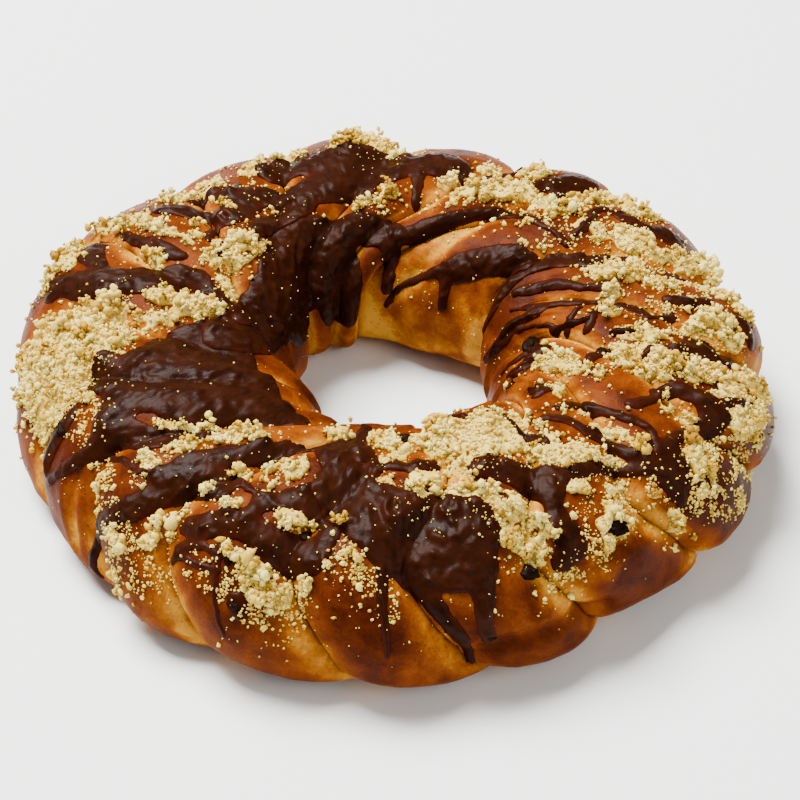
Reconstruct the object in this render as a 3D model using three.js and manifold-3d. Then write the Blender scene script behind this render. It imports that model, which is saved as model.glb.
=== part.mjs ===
// A braided ring loaf with chocolate glaze, streusel and raisins.
// Millimetres, +Z up. The ring lies flat on z = 0 with its middle on the Z axis.
//
// A place on the crust is given by two numbers:
//   angle  degrees round the ring, counter-clockwise from +X seen from above
//   girth  0 where the inner wall meets the table, 0.5 on the crest, 1 where the outer wall meets it
import * as THREE from 'three';
import { mergeVertices } from 'three/addons/utils/BufferGeometryUtils.js';
import Module from 'manifold-3d';

// ---------- driving dimensions ----------
const RING_RADIUS = 92.5; // middle of the hole to the middle of the dough
const OUTER_HALF_WIDTH = 58; // of the dough's section, on the outside of the ring
const INNER_HALF_WIDTH = 52; // and round the hole
const HEIGHT = 62; // of the dough's section
const BELLY = 0.35; // height of the widest place, as a share of HEIGHT
const CRUST_LENGTH = 190; // along the section from table to table, over the crest

const OUTER_CREASE_DEPTH = 9; // between two strands on the outer wall
const CREST_CREASE_DEPTH = 6;
const INNER_CREASE_DEPTH = 7;
const SWELL = 2.5; // how far two merged strands bulge on the inner wall

const COLUMNS_PER_STRAND = 6;
const CRUST_ROWS = 18;
const BASE_ROWS = 3;

const GAP = 0.35; // between two pieces that touch
const ROOT = 3.2; // how deep a topping's blank reaches before it is trimmed to the crust
const FACET_TOLERANCE = 0.06; // facets that bend less than this are joined

const FOLD = 0.62; // the girth where a strand folds over on the outer wall
const FOLD_ROUNDING = 0.05;
const SLANT_OVER_CREST = 115; // degrees that a strand moves on, for one girth, over the crest
const SLANT_TO_TABLE = 60; // and on its way down the outer wall

// Where the creases between strands fold over on the outer wall, in degrees.
const OUTER_CREASES = [18, 46, 66, 88, 110, 131, 152, 172, 192, 211, 230, 253, 272, 293, 315, 336, 357];
// Where the same creases come down the inner wall, in degrees.
const INNER_CREASES = [38, 106, 117, 129, 152, 178, 196, 214, 234, 254, 273, 296, 315, 333, 350, 366, 382];
// The creases that close up on the inner wall, where two strands bake into one, by their place above.
const CLOSED_INSIDE = new Set([4, 6, 8, 10, 12, 14, 16]);
// How far each strand stands out beyond the ring on the outer wall, in millimetres.
const STANDS_OUT = [-1, 0, -1, 2, 2, -1, 5, 3, -2, 0, -1, 0, -1, 0, 0, 2, 1];
// The ring was shaped by hand. At each of these angles: how many millimetres the inner wall stands
// into the hole, the crest stands up and the outer wall stands out.
const HAND_SHAPED = [
  [15, 0, 0, 0],
  [45, -4, 0, 3],
  [75, -4, 0, 0],
  [100, -9, 0, 0],
  [125, -11, 0, 1],
  [150, -8, 3, 8],
  [172, -1, 0, 0],
  [195, 6, 0, -2],
  [214, 7, 2, -2],
  [234, -1, 1, 0],
  [265, 1, 1, 0],
  [290, 4, 4, -1],
  [312, 2, 3, -8],
  [330, 1, 1, 0],
  [345, 0, 0, -1],
  [375, 0, 0, 0],
];
const STRANDS = OUTER_CREASES.length;

// ---------- small helpers ----------
const radians = THREE.MathUtils.degToRad;
const { clamp, lerp, smoothstep } = THREE.MathUtils;

// A smooth curve through [place, value] pairs, flat beyond the ends.
function ramp(place, pairs) {
  let value = pairs[0][1];
  for (let i = 1; i < pairs.length; i += 1) {
    const step = smoothstep(place, pairs[i - 1][0], pairs[i][0]);
    value += (pairs[i][1] - pairs[i - 1][1]) * step;
  }
  return value;
}

// A list that repeats every turn of the ring, read between its entries. `step` is gained each turn.
function aroundRing(list, place, step) {
  const turn = Math.floor(place / list.length);
  const index = Math.floor(place) - turn * list.length;
  const next = index + 1 < list.length ? list[index + 1] : list[0] + step;
  return lerp(list[index], next, place - Math.floor(place)) + turn * step;
}

// ---------- the braid ----------
// Strands climb from the table, fold over on the outer wall and run slantwise over the crest.
// This is how many degrees a strand has moved on from where it folds over.
function slant(girth) {
  const fromFold = girth - FOLD;
  const bend = (SLANT_OVER_CREST + SLANT_TO_TABLE) / 2;
  const lean = (SLANT_OVER_CREST - SLANT_TO_TABLE) / 2;
  return bend * (Math.hypot(fromFold, FOLD_ROUNDING) - FOLD_ROUNDING) - lean * fromFold;
}

// Degrees round the ring of a place that is given in strands.
function strandAngle(strand, girth) {
  const outside = aroundRing(OUTER_CREASES, strand, 360) + slant(girth);
  const inside = aroundRing(INNER_CREASES, strand, 360);
  return lerp(outside, inside, 1 - smoothstep(girth, 0.18, 0.48));
}

// The other way round: the place in strands of an angle. It halves the range until it is close.
function strandAt(angle, girth) {
  let low = -STRANDS * 2;
  let high = STRANDS * 3;
  for (let i = 0; i < 40; i += 1) {
    const middle = (low + high) / 2;
    if (strandAngle(middle, girth) < angle) low = middle;
    else high = middle;
  }
  return low;
}

// How far the crust lies under the full section, in millimetres. Each strand is round across, so
// the crust falls along a quarter circle from the middle of a strand to the crease beside it.
function relief(strand, girth) {
  const crease = Math.round(strand);
  const aside = Math.min(Math.abs(strand - crease) * 2, 1);
  const inside = 1 - smoothstep(girth, 0.3, 0.46);
  const closed = CLOSED_INSIDE.has(THREE.MathUtils.euclideanModulo(crease, STRANDS)) ? inside : 0;
  const depth = ramp(girth, [
    [-0.02, 0],
    [0.08, INNER_CREASE_DEPTH],
    [0.45, CREST_CREASE_DEPTH],
    [0.66, OUTER_CREASE_DEPTH],
    [0.9, OUTER_CREASE_DEPTH],
    [1.06, 0],
  ]);
  const fall = 1 - Math.sqrt(1 - (1 - aside) ** 2);
  const swell = SWELL * smoothstep(girth, 0, 0.12) * (1 - aside * aside / 4);
  return closed * swell - (1 - closed) * depth * fall;
}

// What the inner wall (1), the crest (2) or the outer wall (3) is off the even ring at an angle.
function handShaped(angle, place) {
  const first = HAND_SHAPED[0][0];
  const turned = first + THREE.MathUtils.euclideanModulo(angle - first, 360);
  return ramp(turned, HAND_SHAPED.map((row) => [row[0], row[place]]));
}

// Slow rise and fall of the crust round the ring, in millimetres, and what each strand stands out.
function unevenness(strand, angle, girth) {
  const turn = radians(angle);
  const waves = Math.sin(3 * turn + 0.6) + 0.7 * Math.sin(7 * turn + 2) + 0.5 * Math.sin(11 * turn);
  const standing = aroundRing(STANDS_OUT, strand - 0.5, 0);
  const crest = handShaped(angle, 2) * Math.exp(-(((girth - 0.46) / 0.13) ** 2));
  return waves + crest + standing * smoothstep(girth, 0.45, 0.7);
}

// The section of the dough: a flat-bottomed oval. `turn` is 0 at the outer side and PI at the inner.
function sectionPoint(turn) {
  const across = Math.cos(turn);
  const up = Math.sin(turn);
  const halfWidth = across > 0 ? OUTER_HALF_WIDTH : INNER_HALF_WIDTH;
  const x = halfWidth * Math.sign(across) * Math.abs(across) ** 0.9;
  const belly = BELLY * HEIGHT;
  const z = up > 0 ? belly + (HEIGHT - belly) * up ** 0.9 : belly - belly * (-up) ** 0.7;
  return [x, z];
}

// The same distance across once the walls have been shaped by hand.
function shapedAcross(angle, x) {
  return x * (1 + (x > 0 ? handShaped(angle, 3) / OUTER_HALF_WIDTH : handShaped(angle, 1) / INNER_HALF_WIDTH));
}

const TOUCHDOWN_TURN = -0.3 * Math.PI; // where the outer wall meets the table
const FLOOR_TRIM = sectionPoint(TOUCHDOWN_TURN)[1];

// A point of the crust, `lift` millimetres above it, measured along the spoke from the dough's core.
function crustPoint(strand, girth, lift) {
  const angle = strandAngle(strand, girth);
  const turn = lerp(Math.PI - TOUCHDOWN_TURN, TOUCHDOWN_TURN, girth);
  const [evenX, z] = sectionPoint(turn);
  const x = shapedAcross(angle, evenX);
  const level = (z - FLOOR_TRIM) * HEIGHT / (HEIGHT - FLOOR_TRIM);
  const core = BELLY * HEIGHT;
  const reach = Math.hypot(x, level - core);
  const clearOfTable = smoothstep(level, 0, core);
  const wander = unevenness(strand, angle, girth) * clearOfTable;
  const grown = (reach + relief(strand, girth) + wander + lift) / reach;
  return ringPoint(angle, x * grown, core + (level - core) * grown);
}

function ringPoint(angle, outwards, height) {
  const radius = RING_RADIUS + outwards;
  return [radius * Math.cos(radians(angle)), radius * Math.sin(radians(angle)), height];
}

// ---------- grids ----------
const CRUST_COLUMNS = STRANDS * COLUMNS_PER_STRAND;

// Rows of points right round the section: the crust, then the base on the table.
function crustGrid(lift) {
  const rows = [];
  for (let row = 0; row <= CRUST_ROWS; row += 1) {
    const line = [];
    for (let column = 0; column < CRUST_COLUMNS; column += 1) {
      line.push(crustPoint(column / COLUMNS_PER_STRAND, row / CRUST_ROWS, lift));
    }
    rows.push(line);
  }
  const outerEdge = sectionPoint(TOUCHDOWN_TURN)[0];
  const innerEdge = sectionPoint(Math.PI - TOUCHDOWN_TURN)[0];
  for (let row = 1; row <= BASE_ROWS; row += 1) {
    const share = row / (BASE_ROWS + 1);
    const line = [];
    for (let column = 0; column < CRUST_COLUMNS; column += 1) {
      const strand = column / COLUMNS_PER_STRAND;
      const angles = [strandAngle(strand, 1), strandAngle(strand, 0)];
      const edges = [shapedAcross(angles[0], outerEdge), shapedAcross(angles[1], innerEdge)];
      line.push(ringPoint(lerp(...angles, share), lerp(...edges, share), -lift));
    }
    rows.push(line);
  }
  return rows;
}

const CRUST = crustGrid(0);

// A point on the faceted crust itself, with `lift` along the spoke, so that toppings follow its facets.
function onCrust(angle, girth, lift) {
  const column = strandAt(angle, girth) * COLUMNS_PER_STRAND;
  const row = clamp(girth, 0, 1) * CRUST_ROWS;
  const left = Math.floor(column);
  const low = Math.min(Math.floor(row), CRUST_ROWS - 1);
  const corner = (r, c) => new THREE.Vector3(...CRUST[r][THREE.MathUtils.euclideanModulo(c, CRUST_COLUMNS)]);
  const below = corner(low, left).lerp(corner(low, left + 1), column - left);
  const above = corner(low + 1, left).lerp(corner(low + 1, left + 1), column - left);
  const point = below.lerp(above, row - low);
  const core = new THREE.Vector3(point.x, point.y, 0).setLength(RING_RADIUS).setZ(BELLY * HEIGHT);
  const spoke = point.clone().sub(core);
  return point.addScaledVector(spoke.normalize(), lift);
}

// ---------- solids ----------
const wasm = await Module();
wasm.setup();

function solidOf(points, triangles) {
  return new wasm.Manifold(new wasm.Mesh({
    numProp: 3,
    vertProperties: new Float32Array(points.flat()),
    triVerts: new Uint32Array(triangles.flat()),
  }));
}

function geometryOf(solid) {
  const mesh = solid.getMesh();
  const geometry = new THREE.BufferGeometry();
  geometry.setAttribute('position', new THREE.BufferAttribute(new Float32Array(mesh.vertProperties), 3));
  geometry.setIndex(new THREE.BufferAttribute(new Uint32Array(mesh.triVerts), 1));
  geometry.computeVertexNormals();
  return geometry;
}

// The ring-shaped body: rows close on each other round the section, columns round the ring.
function loafSolid(grid) {
  const rows = grid.length;
  const points = grid.flat();
  const index = (row, column) => (row % rows) * CRUST_COLUMNS + (column % CRUST_COLUMNS);
  const triangles = [];
  for (let row = 0; row < rows; row += 1) {
    for (let column = 0; column < CRUST_COLUMNS; column += 1) {
      const a = index(row, column);
      const b = index(row, column + 1);
      const c = index(row + 1, column + 1);
      const d = index(row + 1, column);
      triangles.push([a, c, b], [a, d, c]);
    }
  }
  return solidOf(points, triangles);
}

// A slab between two grids of the same size, with walls round its edge.
function slabSolid(top, bottom) {
  const rows = top.length;
  const columns = top[0].length;
  const count = rows * columns;
  const points = [...top.flat(), ...bottom.flat()];
  const triangles = [];
  for (let row = 0; row + 1 < rows; row += 1) {
    for (let column = 0; column + 1 < columns; column += 1) {
      const a = row * columns + column;
      const b = a + columns;
      triangles.push([a, b, b + 1], [a, b + 1, a + 1]);
      triangles.push([count + a, count + b + 1, count + b], [count + a, count + a + 1, count + b + 1]);
    }
  }
  const rim = [];
  for (let row = 0; row < rows; row += 1) rim.push(row * columns);
  for (let column = 1; column < columns; column += 1) rim.push((rows - 1) * columns + column);
  for (let row = rows - 2; row >= 0; row -= 1) rim.push(row * columns + columns - 1);
  for (let column = columns - 2; column > 0; column -= 1) rim.push(column);
  rim.forEach((a, i) => {
    const b = rim[(i + 1) % rim.length];
    triangles.push([a, count + a, count + b], [a, count + b, b]);
  });
  return solidOf(points, triangles);
}

// Millimetres for one degree and for the whole girth at a place on the crust.
function scaleAt(girth) {
  const turn = lerp(Math.PI - TOUCHDOWN_TURN, TOUCHDOWN_TURN, girth);
  return [(RING_RADIUS + sectionPoint(turn)[0]) * radians(1), CRUST_LENGTH];
}

// A topping that lies along a path on the crust, thick in the middle and thin at its edges.
// `path` holds [angle, girth] points; `grow` widens and thickens it to cut a neighbour clear of it.
function toppingBlank({ path, width, thickness, bumps = 0 }, grow) {
  const curve = new THREE.CatmullRomCurve3(path.map(([angle, girth]) => {
    const [degree, whole] = scaleAt(girth);
    return new THREE.Vector3(angle * degree, girth * whole, 0);
  }));
  const places = new THREE.SplineCurve(path.map(([angle, girth]) => new THREE.Vector2(angle, girth)));
  const steps = Math.max(4, Math.round(curve.getLength() / 9));
  const lanes = Math.max(3, Math.round(width / 9));
  const top = [];
  const bottom = [];
  for (let i = 0; i <= steps; i += 1) {
    const place = places.getPoint(i / steps);
    const ahead = places.getTangent(i / steps);
    const [degree, whole] = scaleAt(place.y);
    const along = new THREE.Vector2(ahead.x * degree, -ahead.y * whole).normalize();
    const endways = 2 * i / steps - 1;
    const half = width / 2 * (0.45 + 0.55 * Math.sqrt(1 - endways ** 4)) + grow;
    const topLine = [];
    const bottomLine = [];
    for (let j = 0; j <= lanes; j += 1) {
      const side = 2 * j / lanes - 1;
      const angle = place.x - side * half * along.y / degree + grow * endways * along.x / degree;
      const girth = place.y - (side * half * along.x - grow * endways * along.y) / whole;
      const crumbs = bumps * Math.sin(i * 2.3 + j * 1.7) * Math.cos(j * 2.9 - i);
      const lift = thickness * (1 - 0.7 * side * side) * (1 - 0.5 * endways ** 4) + crumbs + grow;
      topLine.push(onCrust(angle, girth, lift).toArray());
      bottomLine.push(onCrust(angle, girth, -ROOT).toArray());
    }
    top.push(topLine);
    bottom.push(bottomLine);
  }
  return slabSolid(top, bottom);
}

// A raisin: an oval pip, longest along the ring.
function raisinBlank({ path: [[angle, girth]], size }, grow) {
  const pip = new THREE.SphereGeometry(1, 10, 7);
  pip.deleteAttribute('normal');
  pip.deleteAttribute('uv');
  const merged = mergeVertices(pip);
  const centre = onCrust(angle, girth, 0);
  merged.scale(size / 2 + grow, size * 0.36 + grow, size * 0.34 + grow);
  merged.rotateZ(radians(angle + 70));
  merged.translate(centre.x, centre.y, centre.z);
  const position = merged.getAttribute('position');
  const points = [];
  for (let i = 0; i < position.count; i += 1) {
    points.push([position.getX(i), position.getY(i), position.getZ(i)]);
  }
  return solidOf(points, [Array.from(merged.index.array)]);
}

// Trimming can leave slivers beside the piece, so only its largest body is kept.
function largestBody(solid) {
  const bodies = solid.simplify(FACET_TOLERANCE).decompose();
  return bodies.reduce((best, body) => (body.volume() > best.volume() ? body : best));
}

// ---------- materials ----------
const crust = () => new THREE.MeshStandardMaterial({ color: '#c07228', roughness: 0.45, metalness: 0 });
const chocolate = () => new THREE.MeshStandardMaterial({ color: '#3a211a', roughness: 0.35, metalness: 0 });
const streusel = () => new THREE.MeshStandardMaterial({ color: '#e6cf8a', roughness: 0.85, metalness: 0 });
const raisin = () => new THREE.MeshStandardMaterial({ color: '#1a1214', roughness: 0.5, metalness: 0 });

// ---------- the toppings ----------
const RAISINS = [
  ['raisin_front_left', { path: [[254.5, 0.6]], size: 9 }],
  ['raisin_front', { path: [[291.5, 0.675]], size: 10 }],
  ['raisin_front_right', { path: [[308.3, 0.672]], size: 11 }],
  ['raisin_right', { path: [[348.5, 0.465]], size: 9 }],
  ['raisin_left', { path: [[200, 0.68]], size: 9 }],
];

const STREUSEL = [
  ['streusel_left', { path: [[177, 0.64], [186, 0.65], [194, 0.68]], width: 34, thickness: 4, bumps: 0.8 }],
  ['streusel_front_left', { path: [[217, 0.525], [226, 0.5], [236, 0.485]], width: 6, thickness: 3.5 }],
  ['streusel_front_step', { path: [[250, 0.572], [255, 0.578]], width: 9, thickness: 4 }],
  [
    'streusel_front_heap',
    { path: [[279, 0.435], [290, 0.445], [301, 0.46]], width: 20, thickness: 5, bumps: 1 },
  ],
  ['streusel_front_right', { path: [[306, 0.515], [312, 0.54], [317, 0.572]], width: 11, thickness: 3 }],
  ['streusel_right', { path: [[343, 0.69], [351, 0.7]], width: 20, thickness: 3, bumps: 0.6 }],
  ['streusel_right_back', { path: [[12, 0.62], [30, 0.6], [44, 0.6]], width: 28, thickness: 4, bumps: 0.8 }],
  ['streusel_back', { path: [[88, 0.605], [101, 0.59]], width: 14, thickness: 5, bumps: 1 }],
  ['streusel_left_back', { path: [[167, 0.495], [171, 0.485], [173.5, 0.46]], width: 11, thickness: 4 }],
  ['streusel_back_left', { path: [[139, 0.43], [153, 0.452]], width: 13, thickness: 4 }],
];

const GLAZE = [
  ['glaze_left_pool', { path: [[186, 0.44], [204, 0.465], [224, 0.42]], width: 38, thickness: 4 }],
  ['glaze_left_drip', { path: [[205, 0.58], [208.5, 0.66], [205, 0.74]], width: 10, thickness: 3 }],
  ['glaze_front_ribbon', { path: [[227, 0.555], [235, 0.507], [244, 0.468]], width: 8, thickness: 4 }],
  [
    'glaze_front_shelf',
    { path: [[227, 0.6], [223, 0.67], [218.5, 0.745], [217.5, 0.82]], width: 8, thickness: 3 },
  ],
  ['glaze_front_mass', { path: [[254, 0.465], [262, 0.51], [266, 0.57]], width: 15, thickness: 4 }],
  [
    'glaze_front_stream',
    { path: [[269, 0.62], [274, 0.668], [279, 0.75], [281.5, 0.83]], width: 8, thickness: 3 },
  ],
  ['glaze_front_pool', { path: [[274, 0.6], [284, 0.61]], width: 22, thickness: 4 }],
  ['glaze_front_blob', { path: [[297, 0.53], [300, 0.59], [299, 0.665]], width: 10, thickness: 4 }],
  ['glaze_right_loop', { path: [[341, 0.575], [341, 0.63], [334, 0.63]], width: 8, thickness: 3 }],
  ['glaze_right_crest', { path: [[314, 0.472], [318.7, 0.512], [322, 0.61]], width: 7, thickness: 3 }],
  ['glaze_right_pool', { path: [[352, 0.56], [355, 0.61], [356, 0.655]], width: 13, thickness: 3 }],
  ['glaze_right_band', { path: [[35, 0.42], [30, 0.47], [24, 0.5]], width: 8, thickness: 3 }],
  ['glaze_right_drip', { path: [[30, 0.36], [22, 0.42], [15, 0.475]], width: 6, thickness: 2.5 }],
  ['glaze_far_ribbon', { path: [[42, 0.398], [56, 0.352], [72, 0.312]], width: 10, thickness: 3 }],
  ['glaze_far_crest', { path: [[57, 0.48], [70, 0.437], [84, 0.38]], width: 8, thickness: 3 }],
  ['glaze_far_pool', { path: [[92, 0.38], [110, 0.39], [130, 0.41]], width: 20, thickness: 4 }],
  ['glaze_inner_coat', { path: [[132, 0.35], [152, 0.32], [172, 0.345]], width: 24, thickness: 3 }],
  ['glaze_back_pool', { path: [[82, 0.56], [98, 0.54], [116, 0.565]], width: 12, thickness: 3 }],
  ['glaze_back_left', { path: [[164, 0.51], [167.5, 0.57], [166, 0.66]], width: 13, thickness: 3 }],
];

// ---------- assembly ----------
const group = new THREE.Group();

function addPiece(name, geometry, material) {
  const mesh = new THREE.Mesh(geometry, material);
  mesh.name = name;
  group.add(mesh);
}

addPiece('loaf', geometryOf(loafSolid(CRUST)), crust());

// Each topping is trimmed to the crust and to the toppings laid before it.
const keepClear = [loafSolid(crustGrid(GAP))];
function addToppings(list, blank, material) {
  for (const [name, shape] of list) {
    const trimmed = keepClear.reduce((body, other) => body.subtract(other), blank(shape, 0));
    addPiece(name, geometryOf(largestBody(trimmed)), material());
    keepClear.push(blank(shape, GAP));
  }
}
addToppings(RAISINS, raisinBlank, raisin);
addToppings(STREUSEL, toppingBlank, streusel);
addToppings(GLAZE, toppingBlank, chocolate);

// The middle of the whole stands on the Z axis, and its base on z = 0.
const box = new THREE.Box3().setFromObject(group);
const middle = box.getCenter(new THREE.Vector3());
group.position.set(-middle.x, -middle.y, -box.min.z);
group.updateMatrixWorld(true);

export default group;
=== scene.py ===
"""A braided ring loaf with chocolate glaze, butter streusel and raisins.

A place on the crust is given by two numbers: the angle in degrees round the ring, counter-clockwise from +X
seen from above, and the girth, 0 where the inner wall meets the table, 0.5 on the crest and 1 where the outer
wall meets the table. Shapes are worked out in millimetres and put into the meshes in metres.
"""

import itertools
import math

import bpy
import numpy as np
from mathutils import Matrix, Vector


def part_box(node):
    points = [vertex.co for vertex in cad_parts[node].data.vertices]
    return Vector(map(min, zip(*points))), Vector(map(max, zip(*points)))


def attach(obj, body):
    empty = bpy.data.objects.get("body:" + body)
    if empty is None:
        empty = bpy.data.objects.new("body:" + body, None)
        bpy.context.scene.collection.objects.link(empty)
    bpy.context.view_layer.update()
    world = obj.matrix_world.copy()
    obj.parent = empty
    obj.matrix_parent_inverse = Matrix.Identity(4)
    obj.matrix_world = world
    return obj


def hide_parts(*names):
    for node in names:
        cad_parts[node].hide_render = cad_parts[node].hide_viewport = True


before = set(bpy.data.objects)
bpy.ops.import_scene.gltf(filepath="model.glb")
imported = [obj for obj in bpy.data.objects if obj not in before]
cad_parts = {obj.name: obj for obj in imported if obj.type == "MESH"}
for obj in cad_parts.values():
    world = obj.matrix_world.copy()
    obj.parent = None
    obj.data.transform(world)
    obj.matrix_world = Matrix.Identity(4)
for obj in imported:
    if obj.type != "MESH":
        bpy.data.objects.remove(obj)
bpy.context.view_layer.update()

bl_info = {
    "name": "Braided ring loaf",
    "version": (1, 0, 0),
    "blender": (4, 5, 0),
    "location": "3D View > Sidebar > Loaf",
    "description": "Bakes, glazes and crumbles a braided ring loaf round its frame",
    "category": "Add Mesh",
}

MM = 0.001
BODY = "root"

# ---------------------------------------------------------------- the braid

# Where the creases between strands fold over on the outer wall, in degrees.
OUTER_CREASES = (18, 46, 66, 88, 110, 131, 152, 172, 192, 211, 230, 253, 272, 293, 315, 336, 357)
# Where the same creases come down the inner wall, in degrees.
INNER_CREASES = (38, 106, 117, 129, 152, 178, 196, 214, 234, 254, 273, 296, 315, 333, 350, 366, 382)
# The creases that close up on the inner wall, where two strands bake into one, by their place above.
CLOSED_INSIDE = (4, 6, 8, 10, 12, 14, 16)
# How far each strand stands out beyond the ring on the outer wall, in millimetres.
STANDS_OUT = (-1, 0, -1, 2, 2, -1, 5, 3, -2, 0, -1, 0, -1, 0, 0, 2, 1)
STRANDS = len(OUTER_CREASES)
# The ring was shaped by hand: at each of these angles, how many millimetres the inner wall stands into the
# hole, the crest stands up and the outer wall stands out.
HAND_SHAPED = (
    (15, 0, 0, 0),
    (45, -4, 0, 3),
    (75, -4, 0, 0),
    (100, -9, 0, 0),
    (125, -11, 0, 1),
    (150, -8, 3, 8),
    (172, -1, 0, 0),
    (195, 6, 0, -2),
    (214, 7, 2, -2),
    (234, -1, 1, 0),
    (265, 1, 1, 0),
    (290, 4, 4, -1),
    (312, 2, 3, -8),
    (330, 1, 1, 0),
    (345, 0, 0, -1),
    (375, 0, 0, 0),
)

FOLD = 0.62  # the girth where a strand folds over on the outer wall
FOLD_ROUNDING = 0.05
SLANT_OVER_CREST = 115.0  # degrees that a strand moves on, for one girth, over the crest
SLANT_TO_TABLE = 60.0  # and on its way down the outer wall
BELLY = 0.35  # height of the widest place, as a share of the height
TOUCHDOWN = -0.3 * math.pi  # turn of the section where the outer wall meets the table
CRUST_LENGTH = 190.0  # millimetres along the section from table to table
SWELL = 2.5  # how far two merged strands bulge on the inner wall, in millimetres
OUTSIDE = -50.0  # stands for "far outside" where a distance inside a stroke is wanted


def smoothstep(value, low, high):
    """0 below low and 1 above high, with an S-shaped curve between."""
    share = np.clip((value - low) / (high - low), 0, 1)
    return share * share * (3 - 2 * share)


def mix(first, second, share):
    """first where share is 0, second where it is 1."""
    return first + (second - first) * share


def ramp(place, *pairs):
    """A smooth curve through (place, value) pairs, flat beyond the ends."""
    value = pairs[0][1]
    for (low, before), (high, after) in zip(pairs, pairs[1:]):
        value = value + (after - before) * smoothstep(place, low, high)
    return value


def around(values, place, gained=0.0):
    """A list read between its entries, which repeats every turn of the ring and gains `gained` each turn."""
    turn = np.floor(place / STRANDS)
    whole = np.append(values, values[0] + gained).astype(float)
    return np.interp(place - turn * STRANDS, np.arange(STRANDS + 1), whole) + turn * gained


def hand_shaped(angle):
    """What the inner wall, the crest and the outer wall are off the even ring at an angle."""
    turned = np.mod(angle - HAND_SHAPED[0][0], 360) + HAND_SHAPED[0][0]
    return [ramp(turned, *((row[0], row[i]) for row in HAND_SHAPED)) for i in (1, 2, 3)]


def noise(points, size, seed):
    """Gradient noise, about -1 to 1, with lumps `size` millimetres across: each corner of a cubic lattice
    has a random slope, and the eight slopes round a point are blended by a smooth weight."""
    grid = points / size
    cell = np.floor(grid).astype(np.int64)
    inside = grid - cell
    weight = inside**3 * (inside * (inside * 6 - 15) + 10)
    total = np.zeros(points.shape[:-1])
    for corner in itertools.product((0, 1), repeat=3):
        at = cell + np.array(corner)
        key = at[..., 0] * 73856093 ^ at[..., 1] * 19349663 ^ at[..., 2] * 83492791 ^ (seed + 1) * 2654435
        key = (key ^ (key >> 13)) * 1274126177 & 0x7FFFFFFF
        key = (key ^ (key >> 16)) * 668265263 & 0x7FFFFFFF
        away = inside - np.array(corner)
        slope = sum(away[..., i] * ((key >> (9 * i)) % 512 / 255.5 - 1) for i in range(3))
        share = np.prod(np.where(corner, weight, 1 - weight), axis=-1)
        total += share * slope
    return total * 1.5


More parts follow.
